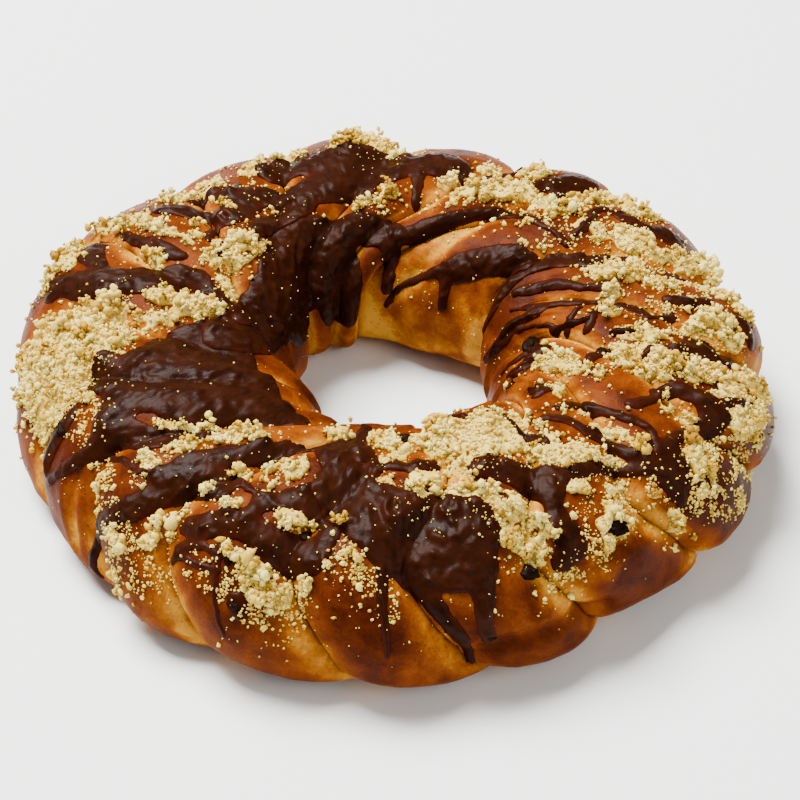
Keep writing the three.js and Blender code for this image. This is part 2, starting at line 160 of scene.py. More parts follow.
class Dough:
    """The shape of the braided ring, from a few sizes in millimetres."""

    def __init__(self, settings):
        self.ring = settings.ring_radius / MM
        self.outer_half = settings.outer_half_width / MM
        self.inner_half = settings.inner_half_width / MM
        self.height = settings.height / MM
        self.depths = [depth / MM for depth in settings.crease_depths]
        self.core = BELLY * self.height
        self.middle = np.zeros(3)

    def slant(self, girth):
        """Degrees a strand has moved on from where it folds over: a hyperbola with a leaning axis, whose
        two arms have the slopes of the crest and of the outer wall."""
        from_fold = girth - FOLD
        bend = (SLANT_OVER_CREST + SLANT_TO_TABLE) / 2
        lean = (SLANT_OVER_CREST - SLANT_TO_TABLE) / 2
        return bend * (np.hypot(from_fold, FOLD_ROUNDING) - FOLD_ROUNDING) - lean * from_fold

    def strand_angle(self, strand, girth):
        """Degrees round the ring of a place given in strands."""
        outside = around(OUTER_CREASES, strand, 360) + self.slant(girth)
        inside = around(INNER_CREASES, strand, 360)
        return mix(outside, inside, 1 - smoothstep(girth, 0.18, 0.48))

    def strand_at(self, angle, girth):
        """The place in strands of an angle: each strand is a straight share of the angle between its
        creases."""
        found = np.zeros(np.broadcast(angle, girth).shape)
        for strand in range(-STRANDS, 2 * STRANDS):
            low = self.strand_angle(np.float64(strand), girth)
            high = self.strand_angle(np.float64(strand + 1), girth)
            found = np.where((angle >= low) & (angle < high), strand + (angle - low) / (high - low), found)
        return found

    def open_inside(self, strand, girth):
        """1 where the nearest crease is open, 0 where it has closed up on the inner wall."""
        closed = np.isin(np.round(strand) % STRANDS, CLOSED_INSIDE)
        return 1 - closed * (1 - smoothstep(girth, 0.3, 0.46))

    def depth(self, girth):
        """Depth of the creases along the girth."""
        inner, crest, outer = self.depths
        return ramp(girth, (-0.02, 0), (0.08, inner), (0.45, crest), (0.66, outer), (0.9, outer), (1.06, 0))

    def relief(self, strand, girth):
        """Millimetres that the crust lies above the full section. A strand is round across, so the crust
        falls along a quarter circle from its middle to the crease beside it. Merged strands swell
        instead."""
        aside = np.minimum(np.abs(strand - np.round(strand)) * 2, 1)
        fall = 1 - np.sqrt(np.clip(1 - (1 - aside) ** 2, 0, 1))
        opened = self.open_inside(strand, girth)
        swell = SWELL * smoothstep(girth, 0, 0.12) * (1 - aside * aside / 4)
        return (1 - opened) * swell - opened * self.depth(girth) * fall

    def section(self, turn):
        """The dough's section, a flat-bottomed oval: across goes by the cosine of the turn and up by its
        sine, each raised to a power a little under 1, so that the oval is a little square."""
        across, up = np.cos(turn), np.sin(turn)
        half = np.where(across > 0, self.outer_half, self.inner_half)
        low, high = self.core * np.abs(up) ** 0.7, (self.height - self.core) * np.abs(up) ** 0.9
        return half * np.sign(across) * np.abs(across) ** 0.9, self.core + np.where(up > 0, high, -low)

    def place(self, strand, girth):
        """Angle, reach from the core and direction of the full section under a place on the crust."""
        angle = self.strand_angle(strand, girth)
        turn = mix(math.pi - TOUCHDOWN, TOUCHDOWN, girth)
        across, up = self.section(turn)
        inwards, _, outwards = hand_shaped(angle)
        across = across * (1 + np.where(across > 0, outwards / self.outer_half, inwards / self.inner_half))
        trim = self.section(TOUCHDOWN)[1]
        up = (up - trim) * self.height / (self.height - trim) - self.core
        reach = np.hypot(across, up)
        around_ring = np.radians(angle)
        cosine = across / reach
        spoke = np.stack([cosine * np.cos(around_ring), cosine * np.sin(around_ring), up / reach], axis=-1)
        outwards = np.stack([np.cos(around_ring), np.sin(around_ring), np.zeros_like(angle)], axis=-1)
        return angle, reach, spoke, outwards * self.ring + np.array([0, 0, self.core])

    def rise(self, strand, girth, angle):
        """Slow rise and fall round the ring, and what each strand stands out on the outer wall."""
        turn = np.radians(angle)
        waves = np.sin(3 * turn + 0.6) + 0.7 * np.sin(7 * turn + 2) + 0.5 * np.sin(11 * turn)
        crest = hand_shaped(angle)[1] * np.exp(-(((girth - 0.46) / 0.13) ** 2))
        return waves + crest + around(STANDS_OUT, strand - 0.5) * smoothstep(girth, 0.45, 0.7)

    def crust(self, strand, girth):
        """Points of the crust, their spokes from the core, the relief, and how strongly the dough is
        stretched. The fine relief is lumps of two sizes, pores, and streaks that run along a strand
        beside its creases."""
        angle, reach, spoke, core = self.place(strand, girth)
        full = core + spoke * reach[..., None]
        clear = smoothstep(full[..., 2], 0, self.core)
        relief = self.relief(strand, girth)
        aside = np.minimum(np.abs(strand - np.round(strand)) * 2, 1)
        stretched = (1 - smoothstep(aside, 0.02, 0.55)) * self.open_inside(strand, girth)
        along = np.stack([strand * 34, girth * CRUST_LENGTH * 0.16, np.zeros_like(strand)], axis=-1)
        lumps = 1.1 * noise(full, 24, 1) + 0.5 * noise(full, 9, 2) + 0.16 * noise(full, 3.2, 3)
        streaks = 0.45 * noise(along, 1.7, 4) * stretched
        rough = (lumps + streaks) * smoothstep(full[..., 2], 0, 12)
        lift = relief + self.rise(strand, girth, angle) * clear + rough
        degree = np.hypot(full[..., 0], full[..., 1]) * math.radians(1)
        for depth, stroke in TEARS:
            lift = lift - depth * smoothstep(inside_stroke(angle, girth, degree, stroke), -3.2, 1.2)
        return full + spoke * lift[..., None] - self.middle, spoke, relief, stretched


# ---------------------------------------------------------------- meshes


def new_object(name, points, faces, smooth=True):
    """A mesh object from points in millimetres and an array of faces."""
    mesh = bpy.data.meshes.new(name)
    mesh.from_pydata((points * MM).tolist(), [], faces if isinstance(faces, list) else faces.tolist())
    mesh.polygons.foreach_set("use_smooth", np.full(len(mesh.polygons), smooth))
    mesh.update()
    made = bpy.data.objects.new(name, mesh)
    bpy.context.scene.collection.objects.link(made)
    return made


def add_values(made, name, values):
    """Stores one number for each point, which a material reads by name."""
    stored = made.data.attributes.new(name, "FLOAT", "POINT").data
    stored.foreach_set("value", np.ravel(values).astype(np.float32))


def finish_piece(made, material, slot_name, *nodes):
    """Gives a piece its material and its body, and hides the CAD nodes that it stands for."""
    made.data.materials.append(material)
    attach(made, BODY)
    if nodes:
        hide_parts(*nodes)
    return made


# ---------------------------------------------------------------- materials


def linear(colour):
    """An sRGB hex colour as linear red, green, blue and alpha."""
    values = [int(colour[i : i + 2], 16) / 255 for i in (1, 3, 5)]
    return (*[v / 12.92 if v <= 0.04045 else ((v + 0.055) / 1.055) ** 2.4 for v in values], 1.0)


def add_node(material, kind, inputs=None, stops=None, **settings):
    """Adds a node with its settings. `inputs` gives its sockets numbers, colours or the sockets that feed
    them, and `stops` gives a colour ramp its (place, colour) pairs."""
    tree = material.node_tree
    made = tree.nodes.new(kind)
    for name, value in settings.items():
        setattr(made, name, value)
    for name, value in (inputs or {}).items():
        if isinstance(value, bpy.types.NodeSocket):
            tree.links.new(value, made.inputs[name])
        else:
            made.inputs[name].default_value = value
    for index, (place, colour) in enumerate(stops or ()):
        elements = made.color_ramp.elements
        element = elements[index] if index < 2 else elements.new(place)
        element.position = place
        element.color = linear(colour)
    return made


def new_material(name):
    """An empty node material with its output."""
    material = bpy.data.materials.new(name)
    material.use_nodes = True
    material.node_tree.nodes.clear()
    return material


def set_surface(material, **inputs):
    """Adds the Principled shader and the output."""
    named = {name.replace("_", " "): value for name, value in inputs.items()}
    shader = add_node(material, "ShaderNodeBsdfPrincipled", named)
    add_node(material, "ShaderNodeOutputMaterial", {"Surface": shader.outputs["BSDF"]})
    return material


def crust_material(settings):
    """Egg-washed yeast crust, brushed and baked: the wash gives a thin gloss over a colour that runs from
    pale dough in the creases through orange to dark brown on the knuckles, blotched where the wash lay
    unevenly and peppered with tiny scorched blisters."""
    material = new_material("egg_washed_crust")
    where = add_node(material, "ShaderNodeTexCoord").outputs["Object"]
    bake = add_node(material, "ShaderNodeAttribute", attribute_name="bake").outputs["Fac"]
    blotch = add_node(
        material,
        "ShaderNodeTexNoise",
        {"Vector": where, "Scale": 1 / (8 * MM), "Detail": 7, "Roughness": 0.68, "Distortion": 0.6},
    )
    speck = add_node(
        material,
        "ShaderNodeTexNoise",
        {"Vector": where, "Scale": 1 / (1.3 * MM), "Detail": 3, "Roughness": 0.6},
    )
    wander = add_node(
        material, "ShaderNodeMath", {0: blotch.outputs["Fac"], 1: 0.7, 2: bake}, operation="MULTIPLY_ADD"
    )
    dusted = add_node(
        material,
        "ShaderNodeMath",
        {0: speck.outputs["Fac"], 1: 0.24, 2: wander.outputs[0]},
        operation="MULTIPLY_ADD",
    )
    shade = add_node(
        material, "ShaderNodeMath", {0: dusted.outputs[0], 1: 0.46}, operation="SUBTRACT", use_clamp=True
    )
    colour = add_node(
        material,
        "ShaderNodeValToRGB",
        {"Fac": shade.outputs[0]},
        stops=[
            (0.0, settings.pale_dough),
            (1.0, "#2A0D03"),
            (0.16, "#96570A"),
            (0.34, settings.golden_crust),
            (0.56, "#5C2604"),
            (0.8, settings.dark_crust),
        ],
    )
    blisters = add_node(
        material, "ShaderNodeTexVoronoi", {"Vector": where, "Scale": 1 / (3.2 * MM), "Randomness": 1.0}
    )
    scorched = add_node(
        material,
        "ShaderNodeMapRange",
        {
            "Value": blisters.outputs["Distance"],
            "From Min": 0.08,
            "From Max": 0.2,
            "To Min": 0.4,
            "To Max": 0.0,
        },
    )
    peppered = add_node(
        material,
        "ShaderNodeMix",
        {"Factor": scorched.outputs["Result"], "A": colour.outputs["Color"], "B": linear("#2E1004")},
        data_type="RGBA",
    )
    gloss = add_node(
        material,
        "ShaderNodeMapRange",
        {"Value": shade.outputs[0], "From Min": 0.1, "From Max": 0.7, "To Min": 0.5, "To Max": 0.34},
    )
    skin = add_node(
        material,
        "ShaderNodeMath",
        {0: blisters.outputs["Distance"], 1: 0.3, 2: speck.outputs["Fac"]},
        operation="MULTIPLY_ADD",
    )
    bump = add_node(
        material, "ShaderNodeBump", {"Height": skin.outputs[0], "Strength": 0.5, "Distance": 0.5 * MM}
    )
    return set_surface(
        material,
        Base_Color=peppered.outputs[2],
        Roughness=gloss.outputs["Result"],
        Normal=bump.outputs["Normal"],
        Specular_IOR_Level=0.02,
    )


def glaze_material(settings):
    """Dark chocolate glaze, poured warm and set: satin rather than glossy, with a faint bloom that
    lightens it in clouds, and a thin reddish edge where it ran out."""
    material = new_material("set_chocolate_glaze")
    where = add_node(material, "ShaderNodeTexCoord").outputs["Object"]
    thick = add_node(material, "ShaderNodeAttribute", attribute_name="thickness").outputs["Fac"]
    bloom = add_node(
        material,
        "ShaderNodeTexNoise",
        {"Vector": where, "Scale": 1 / (9 * MM), "Detail": 5, "Roughness": 0.6},
    )
    grit = add_node(
        material,
        "ShaderNodeTexNoise",
        {"Vector": where, "Scale": 1 / (1.3 * MM), "Detail": 3, "Roughness": 0.55},
    )
    body = add_node(
        material,
        "ShaderNodeValToRGB",
        {"Fac": bloom.outputs["Fac"]},
        stops=[(0.3, settings.dark_glaze), (0.72, settings.bloomed_glaze)],
    )
    thin = add_node(
        material,
        "ShaderNodeMapRange",
        {"Value": thick, "From Min": 0.0, "From Max": 1.2, "To Min": 0.75, "To Max": 0.0},
    )
    colour = add_node(
        material,
        "ShaderNodeMix",
        {"Factor": thin.outputs["Result"], "A": body.outputs["Color"], "B": linear("#390F06")},
        data_type="RGBA",
    )
    gloss = add_node(
        material,
        "ShaderNodeMapRange",
        {"Value": bloom.outputs["Fac"], "From Min": 0.3, "From Max": 0.7, "To Min": 0.28, "To Max": 0.46},
    )
    bump = add_node(
        material, "ShaderNodeBump", {"Height": grit.outputs["Fac"], "Strength": 0.25, "Distance": 0.5 * MM}
    )
    return set_surface(
        material,
        Base_Color=colour.outputs[2],
        Roughness=gloss.outputs["Result"],
        Normal=bump.outputs["Normal"],
        Specular_IOR_Level=0.035,
    )


def streusel_material(settings):
    """Butter streusel, rubbed and baked dry: matt, with grains of sugar and flour, paler and yellower lumps,
    and toasted tips. The grain also darkens the colour where its bump sinks, which is painted shade in the
    pits."""
    material = new_material("baked_butter_streusel")
    where = add_node(material, "ShaderNodeTexCoord").outputs["Object"]
    tone = add_node(material, "ShaderNodeAttribute", attribute_name="tone").outputs["Fac"]
    grain = add_node(
        material,
        "ShaderNodeTexNoise",
        {"Vector": where, "Scale": 1 / (0.8 * MM), "Detail": 6, "Roughness": 0.75},
    )
    # Partly the grain's own colour, partly painted shade: the colour is darker where the grain's bump sinks.
    shade = add_node(
        material, "ShaderNodeMath", {0: grain.outputs["Fac"], 1: 0.35, 2: tone}, operation="MULTIPLY_ADD"
    )
    colour = add_node(
        material,
        "ShaderNodeValToRGB",
        {"Fac": shade.outputs[0]},
        stops=[(0.12, "#AB7D24"), (0.8, settings.pale_streusel), (0.42, settings.butter_streusel)],
    )
    bump = add_node(
        material, "ShaderNodeBump", {"Height": grain.outputs["Fac"], "Strength": 0.9, "Distance": 0.6 * MM}
    )
    return set_surface(
        material,
        Base_Color=colour.outputs["Color"],
        Roughness=0.85,
        Normal=bump.outputs["Normal"],
        Specular_IOR_Level=0.05,
    )


def raisin_material():
    """A dried raisin baked in the crust: nearly black, with a leathery shine on its wrinkles."""
    material = new_material("baked_raisin_skin")
    where = add_node(material, "ShaderNodeTexCoord").outputs["Object"]
    cloud = add_node(
        material,
        "ShaderNodeTexNoise",
        {"Vector": where, "Scale": 1 / (3 * MM), "Detail": 4, "Roughness": 0.6},
    )
    colour = add_node(
        material,
        "ShaderNodeValToRGB",
        {"Fac": cloud.outputs["Fac"]},
        stops=[(0.3, "#0A0503"), (0.75, "#1F0F07")],
    )
    gloss = add_node(
        material,
        "ShaderNodeMapRange",
        {"Value": cloud.outputs["Fac"], "From Min": 0.3, "From Max": 0.7, "To Min": 0.3, "To Max": 0.55},
    )
    return set_surface(
        material,
        Base_Color=colour.outputs["Color"],
        Roughness=gloss.outputs["Result"],
        Specular_IOR_Level=0.02,
    )


# ---------------------------------------------------------------- toppings
# Strokes lie on the crust as lists of (angle, girth, width in millimetres), and merge where they meet.
# Each piece here has the CAD nodes that it stands for, and then its strokes.

GLAZE = {
    "glaze_left": (
        ("glaze_left_pool", "glaze_left_drip"),
        (
            ((181, 0.415, 14), (188, 0.445, 26), (196, 0.465, 36), (204, 0.465, 38), (212, 0.455, 30),
             (220, 0.43, 22), (228, 0.41, 16), (235, 0.395, 11)),
            ((190, 0.57, 8), (194, 0.58, 15), (198, 0.55, 18), (203, 0.53, 22)),
            ((203, 0.55, 18), (205, 0.58, 13), (208, 0.625, 8.5), (208.5, 0.66, 8), (207, 0.7, 6.5),
             (205.5, 0.73, 5), (204.5, 0.755, 4)),
            ((209, 0.595, 12), (213.5, 0.578, 9), (218, 0.55, 8), (221, 0.527, 6), (224, 0.508, 4)),
            ((208, 0.665, 3.5), (211, 0.64, 3), (214, 0.622, 2.8), (217, 0.615, 2.6), (220, 0.612, 2.6),
             (222.5, 0.6, 2)),
            ((198.5, 0.655, 7), (200, 0.69, 10), (201.5, 0.73, 9), (203, 0.755, 5)),
        ),
    ),
    "glaze_front_left": (
        ("glaze_front_ribbon", "glaze_front_shelf", "glaze_front_mass"),
        (
            ((226, 0.56, 8), (229, 0.535, 7), (233.5, 0.515, 6.5), (237.5, 0.497, 7), (241.5, 0.48, 8),
             (244.5, 0.467, 5)),
            ((224, 0.6, 8), (227, 0.58, 13), (231, 0.57, 13), (236, 0.565, 9)),
            ((228, 0.605, 9), (226, 0.63, 10), (224, 0.66, 11), (221.5, 0.69, 9), (219.3, 0.715, 8),
             (218.5, 0.745, 6.5), (217.8, 0.78, 5), (217, 0.815, 4), (217.5, 0.85, 3.5), (219, 0.875, 3)),
            ((233.5, 0.64, 6), (236, 0.632, 8), (240, 0.61, 9), (244, 0.603, 8), (247.5, 0.61, 7)),
            ((245.5, 0.61, 5), (249, 0.62, 11), (253, 0.63, 15), (256.5, 0.625, 12)),
            ((252.5, 0.64, 9), (253.5, 0.665, 4)),
            ((244, 0.575, 7), (246, 0.565, 6), (249, 0.555, 5), (253, 0.55, 5), (257, 0.565, 6),
             (258.5, 0.59, 9), (257.5, 0.61, 10)),
            ((236.5, 0.54, 2.5), (240, 0.55, 3), (244, 0.556, 2.5), (248, 0.553, 4)),
            ((249, 0.545, 4), (252, 0.54, 5), (255, 0.53, 6)),
            ((246.5, 0.468, 3), (249, 0.455, 4), (252, 0.44, 4), (254, 0.43, 2.5)),
            ((252, 0.465, 8), (256, 0.468, 16), (260, 0.475, 17), (264, 0.485, 10)),
            ((259.5, 0.45, 6), (259.5, 0.42, 5), (259, 0.39, 5), (259, 0.37, 5)),
            ((242, 0.652, 2.5), (239, 0.655, 3), (236.5, 0.66, 4), (234.8, 0.68, 6), (234.3, 0.705, 3.5)),
            ((236, 0.685, 3), (239, 0.685, 3), (242, 0.68, 2.5)),
            ((241.5, 0.645, 3), (242.5, 0.68, 2.6), (243.2, 0.72, 2.2), (244.5, 0.76, 2),
             (245.5, 0.785, 1.8)),
            ((246.5, 0.725, 7), (247.5, 0.735, 7)),
        ),
    ),
    "glaze_front": (
        ("glaze_front_stream", "glaze_front_pool"),
        (
            ((256, 0.515, 12), (260.5, 0.54, 15), (264, 0.56, 15), (266.5, 0.585, 11), (269.5, 0.613, 9.5),
             (272, 0.64, 9), (274.2, 0.668, 8.5), (276, 0.7, 8), (278, 0.735, 6), (280, 0.77, 5),
             (281, 0.81, 4.2), (281.5, 0.835, 3.5)),
            ((267, 0.6, 7), (268, 0.635, 5.5), (268.3, 0.665, 4.5), (268.3, 0.7, 4), (269, 0.735, 3),
             (269.2, 0.775, 2)),
            ((270, 0.575, 10), (274, 0.585, 20), (279, 0.585, 24), (284, 0.59, 20), (286, 0.6, 12)),
            ((274, 0.62, 16), (280, 0.63, 20), (284.5, 0.635, 12)),
            ((283.5, 0.64, 12), (283.5, 0.68, 9), (283.3, 0.72, 7.5), (283.2, 0.75, 6), (284, 0.775, 5)),
            ((276, 0.645, 12), (279, 0.66, 6)),
            ((257, 0.5, 10), (262, 0.515, 12), (266, 0.53, 10), (271, 0.535, 7), (273.5, 0.53, 3)),
            ((264.5, 0.485, 3.5), (268.5, 0.48, 4), (272.5, 0.488, 3), (276, 0.484, 4), (280.5, 0.482, 3)),
            ((273, 0.395, 3.5), (275.5, 0.405, 3)), ((280.5, 0.4, 4), (282, 0.405, 4)),
            ((285.5, 0.385, 5), (289, 0.385, 7), (292, 0.388, 5)), ((294, 0.387, 4), (298, 0.39, 4)),
        ),
    ),
    "glaze_front_right": (
        ("glaze_front_blob",),
        (
            ((288, 0.505, 3.5), (292.5, 0.507, 6), (295.5, 0.52, 9), (298.5, 0.54, 11), (302, 0.555, 12)),
            ((301, 0.56, 12), (300, 0.585, 9), (299.3, 0.61, 9), (300, 0.635, 11), (299.5, 0.66, 12),
             (297.5, 0.675, 9)),
            ((303, 0.55, 6), (307, 0.56, 5), (311, 0.567, 4), (316, 0.588, 4), (318.5, 0.605, 5),
             (321, 0.615, 4)),
            ((297, 0.39, 3), (300.5, 0.41, 3), (303.5, 0.43, 3.5), (305, 0.46, 4), (305, 0.485, 5),
             (307, 0.5, 5)),
            ((310, 0.435, 2.5), (313, 0.445, 2.5)),
            ((313, 0.47, 3), (316, 0.475, 4.5), (318.5, 0.492, 5.5), (318.7, 0.512, 5.5), (320, 0.535, 5.5),
             (320.5, 0.56, 6), (320.7, 0.585, 7), (321.7, 0.61, 7), (323, 0.63, 6)),
            ((320.5, 0.46, 3), (324, 0.465, 4), (327.5, 0.478, 5), (327.5, 0.5, 5), (327.7, 0.525, 5),
             (328, 0.55, 4.5), (327.5, 0.57, 3.5), (326, 0.585, 2.5)),
            ((328, 0.605, 6), (326, 0.612, 10), (324.5, 0.63, 13), (323, 0.655, 12), (322.3, 0.68, 8),
             (322, 0.7, 4)),
            ((330, 0.395, 3), (327, 0.41, 6), (324, 0.41, 4)),
        ),
    ),
    "glaze_right": (
        ("glaze_right_loop", "glaze_right_crest", "glaze_right_pool"),
        (
            ((332, 0.53, 4), (336, 0.545, 3.5), (340, 0.555, 6), (342, 0.575, 7), (342, 0.595, 8),
             (341.5, 0.62, 9), (340.5, 0.64, 10), (338.5, 0.65, 10), (336.5, 0.645, 9), (334.5, 0.63, 6),
             (332, 0.612, 4), (329, 0.605, 5)),
            ((343.5, 0.65, 4), (345.5, 0.67, 3.5), (347, 0.685, 2.5)),
            ((351, 0.55, 5), (353.5, 0.575, 9), (355, 0.6, 15), (355, 0.63, 12), (356, 0.655, 8)),
            ((367.5, 0.555, 5), (366.5, 0.575, 6), (367.5, 0.605, 5)), ((363, 0.535, 4), (363, 0.55, 5)),
            ((368, 0.49, 4), (365, 0.51, 5), (362, 0.52, 5)),
            ((365.5, 0.665, 5), (364, 0.68, 7), (362.5, 0.69, 6)),
            ((349, 0.47, 4), (346, 0.455, 4), (343, 0.45, 3)),
            ((353, 0.37, 5), (347, 0.345, 6), (340, 0.335, 4)),
            ((362, 0.335, 5), (358, 0.345, 6), (354, 0.36, 4)),
            ((360, 0.41, 3), (364, 0.425, 3), (367, 0.44, 2.5)),
            ((357, 0.44, 3), (361, 0.455, 3), (365, 0.465, 2.5)), ((347, 0.515, 2.5), (350, 0.525, 2.5)),
        ),
    ),
    "glaze_right_inside": (
        ("glaze_right_band", "glaze_right_drip"),
        (
            ((36.5, 0.4, 6), (34.5, 0.425, 8), (32, 0.452, 9), (29.5, 0.475, 9), (26, 0.495, 8),
             (24, 0.5, 6)),
            ((30, 0.36, 5), (27, 0.385, 6), (24, 0.41, 6), (20.5, 0.43, 5), (17.5, 0.45, 4.5),
             (14.5, 0.48, 4)),
            ((20, 0.36, 3), (16, 0.385, 4), (13, 0.405, 5), (11, 0.43, 5), (9.5, 0.455, 4), (8, 0.48, 3)),
            ((24, 0.33, 2), (21, 0.36, 2), (18, 0.38, 2)), ((18, 0.32, 2), (15, 0.35, 2), (12, 0.375, 2)),
            ((12, 0.33, 2), (8, 0.36, 2), (5, 0.385, 2)),
            ((38, 0.37, 8), (37, 0.33, 7), (36, 0.29, 6), (36, 0.25, 5)),
            ((27.5, 0.51, 3), (25, 0.535, 4), (22, 0.55, 4), (18, 0.57, 4), (15.5, 0.575, 3)),
            ((33, 0.595, 6), (31.5, 0.615, 9), (30, 0.635, 12), (28, 0.64, 8)),
            ((37, 0.575, 5), (35, 0.585, 5)), ((17.5, 0.585, 5), (16, 0.605, 5)),
            ((37, 0.503, 4), (38.7, 0.52, 4), (40.5, 0.545, 4.5), (40.5, 0.56, 4.5), (38.5, 0.575, 4)),
            ((13, 0.4, 3), (14.5, 0.365, 3), (15, 0.33, 4), (15.5, 0.295, 4.5), (17, 0.262, 4),
             (19, 0.235, 3)),
            ((1, 0.445, 3), (1.5, 0.425, 3.5), (2.5, 0.405, 3), (3, 0.385, 3)),
            ((345.5, 0.395, 3), (347, 0.355, 3.5), (346, 0.335, 3), (344.5, 0.32, 2.5), (343, 0.305, 2.5)),
            ((352, 0.335, 3), (350.5, 0.315, 3), (350, 0.3, 2.5), (348, 0.283, 2)),
            ((341, 0.34, 2.5), (339, 0.325, 2.5), (336.5, 0.31, 2)), ((355, 0.485, 4), (355, 0.497, 4)),
            ((328, 0.385, 4), (326.5, 0.4, 5)),
        ),
    ),
    "glaze_far": (
        ("glaze_far_ribbon", "glaze_far_crest"),
        (
            ((40, 0.405, 9), (44, 0.392, 13), (50, 0.372, 14), (56, 0.352, 13), (62, 0.337, 12),
             (68, 0.325, 8), (74, 0.307, 4.5), (80, 0.29, 3.5), (86, 0.27, 3), (90, 0.25, 2.6),
             (93, 0.225, 2.2)),
            ((67, 0.315, 7), (66.5, 0.28, 5), (66, 0.25, 4)),
            ((35.5, 0.48, 3), (40, 0.478, 2.5), (45, 0.475, 2.5), (52.5, 0.48, 4), (57, 0.48, 5),
             (61, 0.475, 5), (66, 0.455, 6), (70, 0.437, 7), (75, 0.415, 8.5), (79, 0.398, 9),
             (83, 0.385, 8), (87, 0.375, 8)),
            ((57, 0.55, 5), (54, 0.575, 10), (52, 0.6, 12), (50, 0.62, 8)), ((52, 0.56, 7), (50, 0.55, 5)),
        ),
    ),
    "glaze_far_left": (
        ("glaze_far_pool", "glaze_inner_coat"),
        (
            ((88, 0.375, 8), (92, 0.38, 14), (98, 0.385, 15), (104, 0.395, 14), (110, 0.39, 14),
             (116, 0.39, 18), (122, 0.4, 20), (128, 0.41, 20), (133, 0.42, 12)),
            ((91, 0.36, 8), (92, 0.31, 6), (93, 0.26, 5)),
            ((110, 0.35, 14), (111, 0.3, 14), (112, 0.25, 14), (112, 0.22, 12)),
            ((118, 0.34, 14), (119, 0.28, 14), (119, 0.23, 12)),
            ((128, 0.38, 18), (136, 0.355, 22), (146, 0.33, 24), (156, 0.32, 24), (166, 0.335, 22),
             (176, 0.365, 20), (184, 0.4, 18)),
            ((128, 0.3, 20), (136, 0.27, 18), (146, 0.26, 16)), ((131, 0.435, 6), (135, 0.44, 6)),
        ),
    ),
    "glaze_back": (
        ("glaze_back_pool", "glaze_back_left"),
        (
            ((90, 0.545, 15), (85, 0.56, 14), (80, 0.56, 14), (75, 0.555, 9), (71, 0.535, 5),
             (68, 0.545, 4), (64.5, 0.56, 4), (62.5, 0.595, 4)),
            ((84.5, 0.52, 6), (84, 0.49, 5), (84, 0.455, 4)),
            ((90, 0.545, 15), (96, 0.54, 16), (102, 0.54, 14), (108, 0.56, 13), (114, 0.57, 12),
             (118, 0.565, 9)),
            ((98, 0.5, 12), (106, 0.495, 14), (114, 0.49, 12), (120, 0.505, 10), (126, 0.52, 10),
             (131, 0.535, 9)),
            ((116, 0.46, 8), (122, 0.455, 9), (128, 0.455, 9), (134, 0.45, 8)),
            ((128, 0.5, 5), (133, 0.495, 6), (138, 0.495, 4)),
            ((126, 0.555, 3), (131, 0.565, 3), (136, 0.575, 2.5)), ((130, 0.585, 2.5), (134, 0.6, 2.5)),
            ((135, 0.52, 2.5), (141, 0.5, 2.5), (147, 0.49, 2.5)),
            ((140, 0.475, 2), (146, 0.465, 2), (152, 0.455, 2)),
            ((152.5, 0.545, 4), (154, 0.525, 5), (156, 0.51, 5)),
            ((151, 0.6, 4), (152.5, 0.575, 5), (154, 0.55, 3)), ((153, 0.66, 2), (152.5, 0.63, 2.5)),
            ((138, 0.535, 7), (141, 0.55, 10), (143.5, 0.57, 6)),
            ((156, 0.615, 6), (160, 0.61, 8), (163, 0.595, 6)),
            ((167.5, 0.675, 7), (166, 0.65, 12), (167, 0.61, 15), (167, 0.57, 15), (167.5, 0.54, 15),
             (165, 0.52, 13), (162, 0.497, 12), (161, 0.47, 9), (164, 0.435, 6), (168, 0.405, 6),
             (173, 0.38, 7)),
        ),
    ),
}

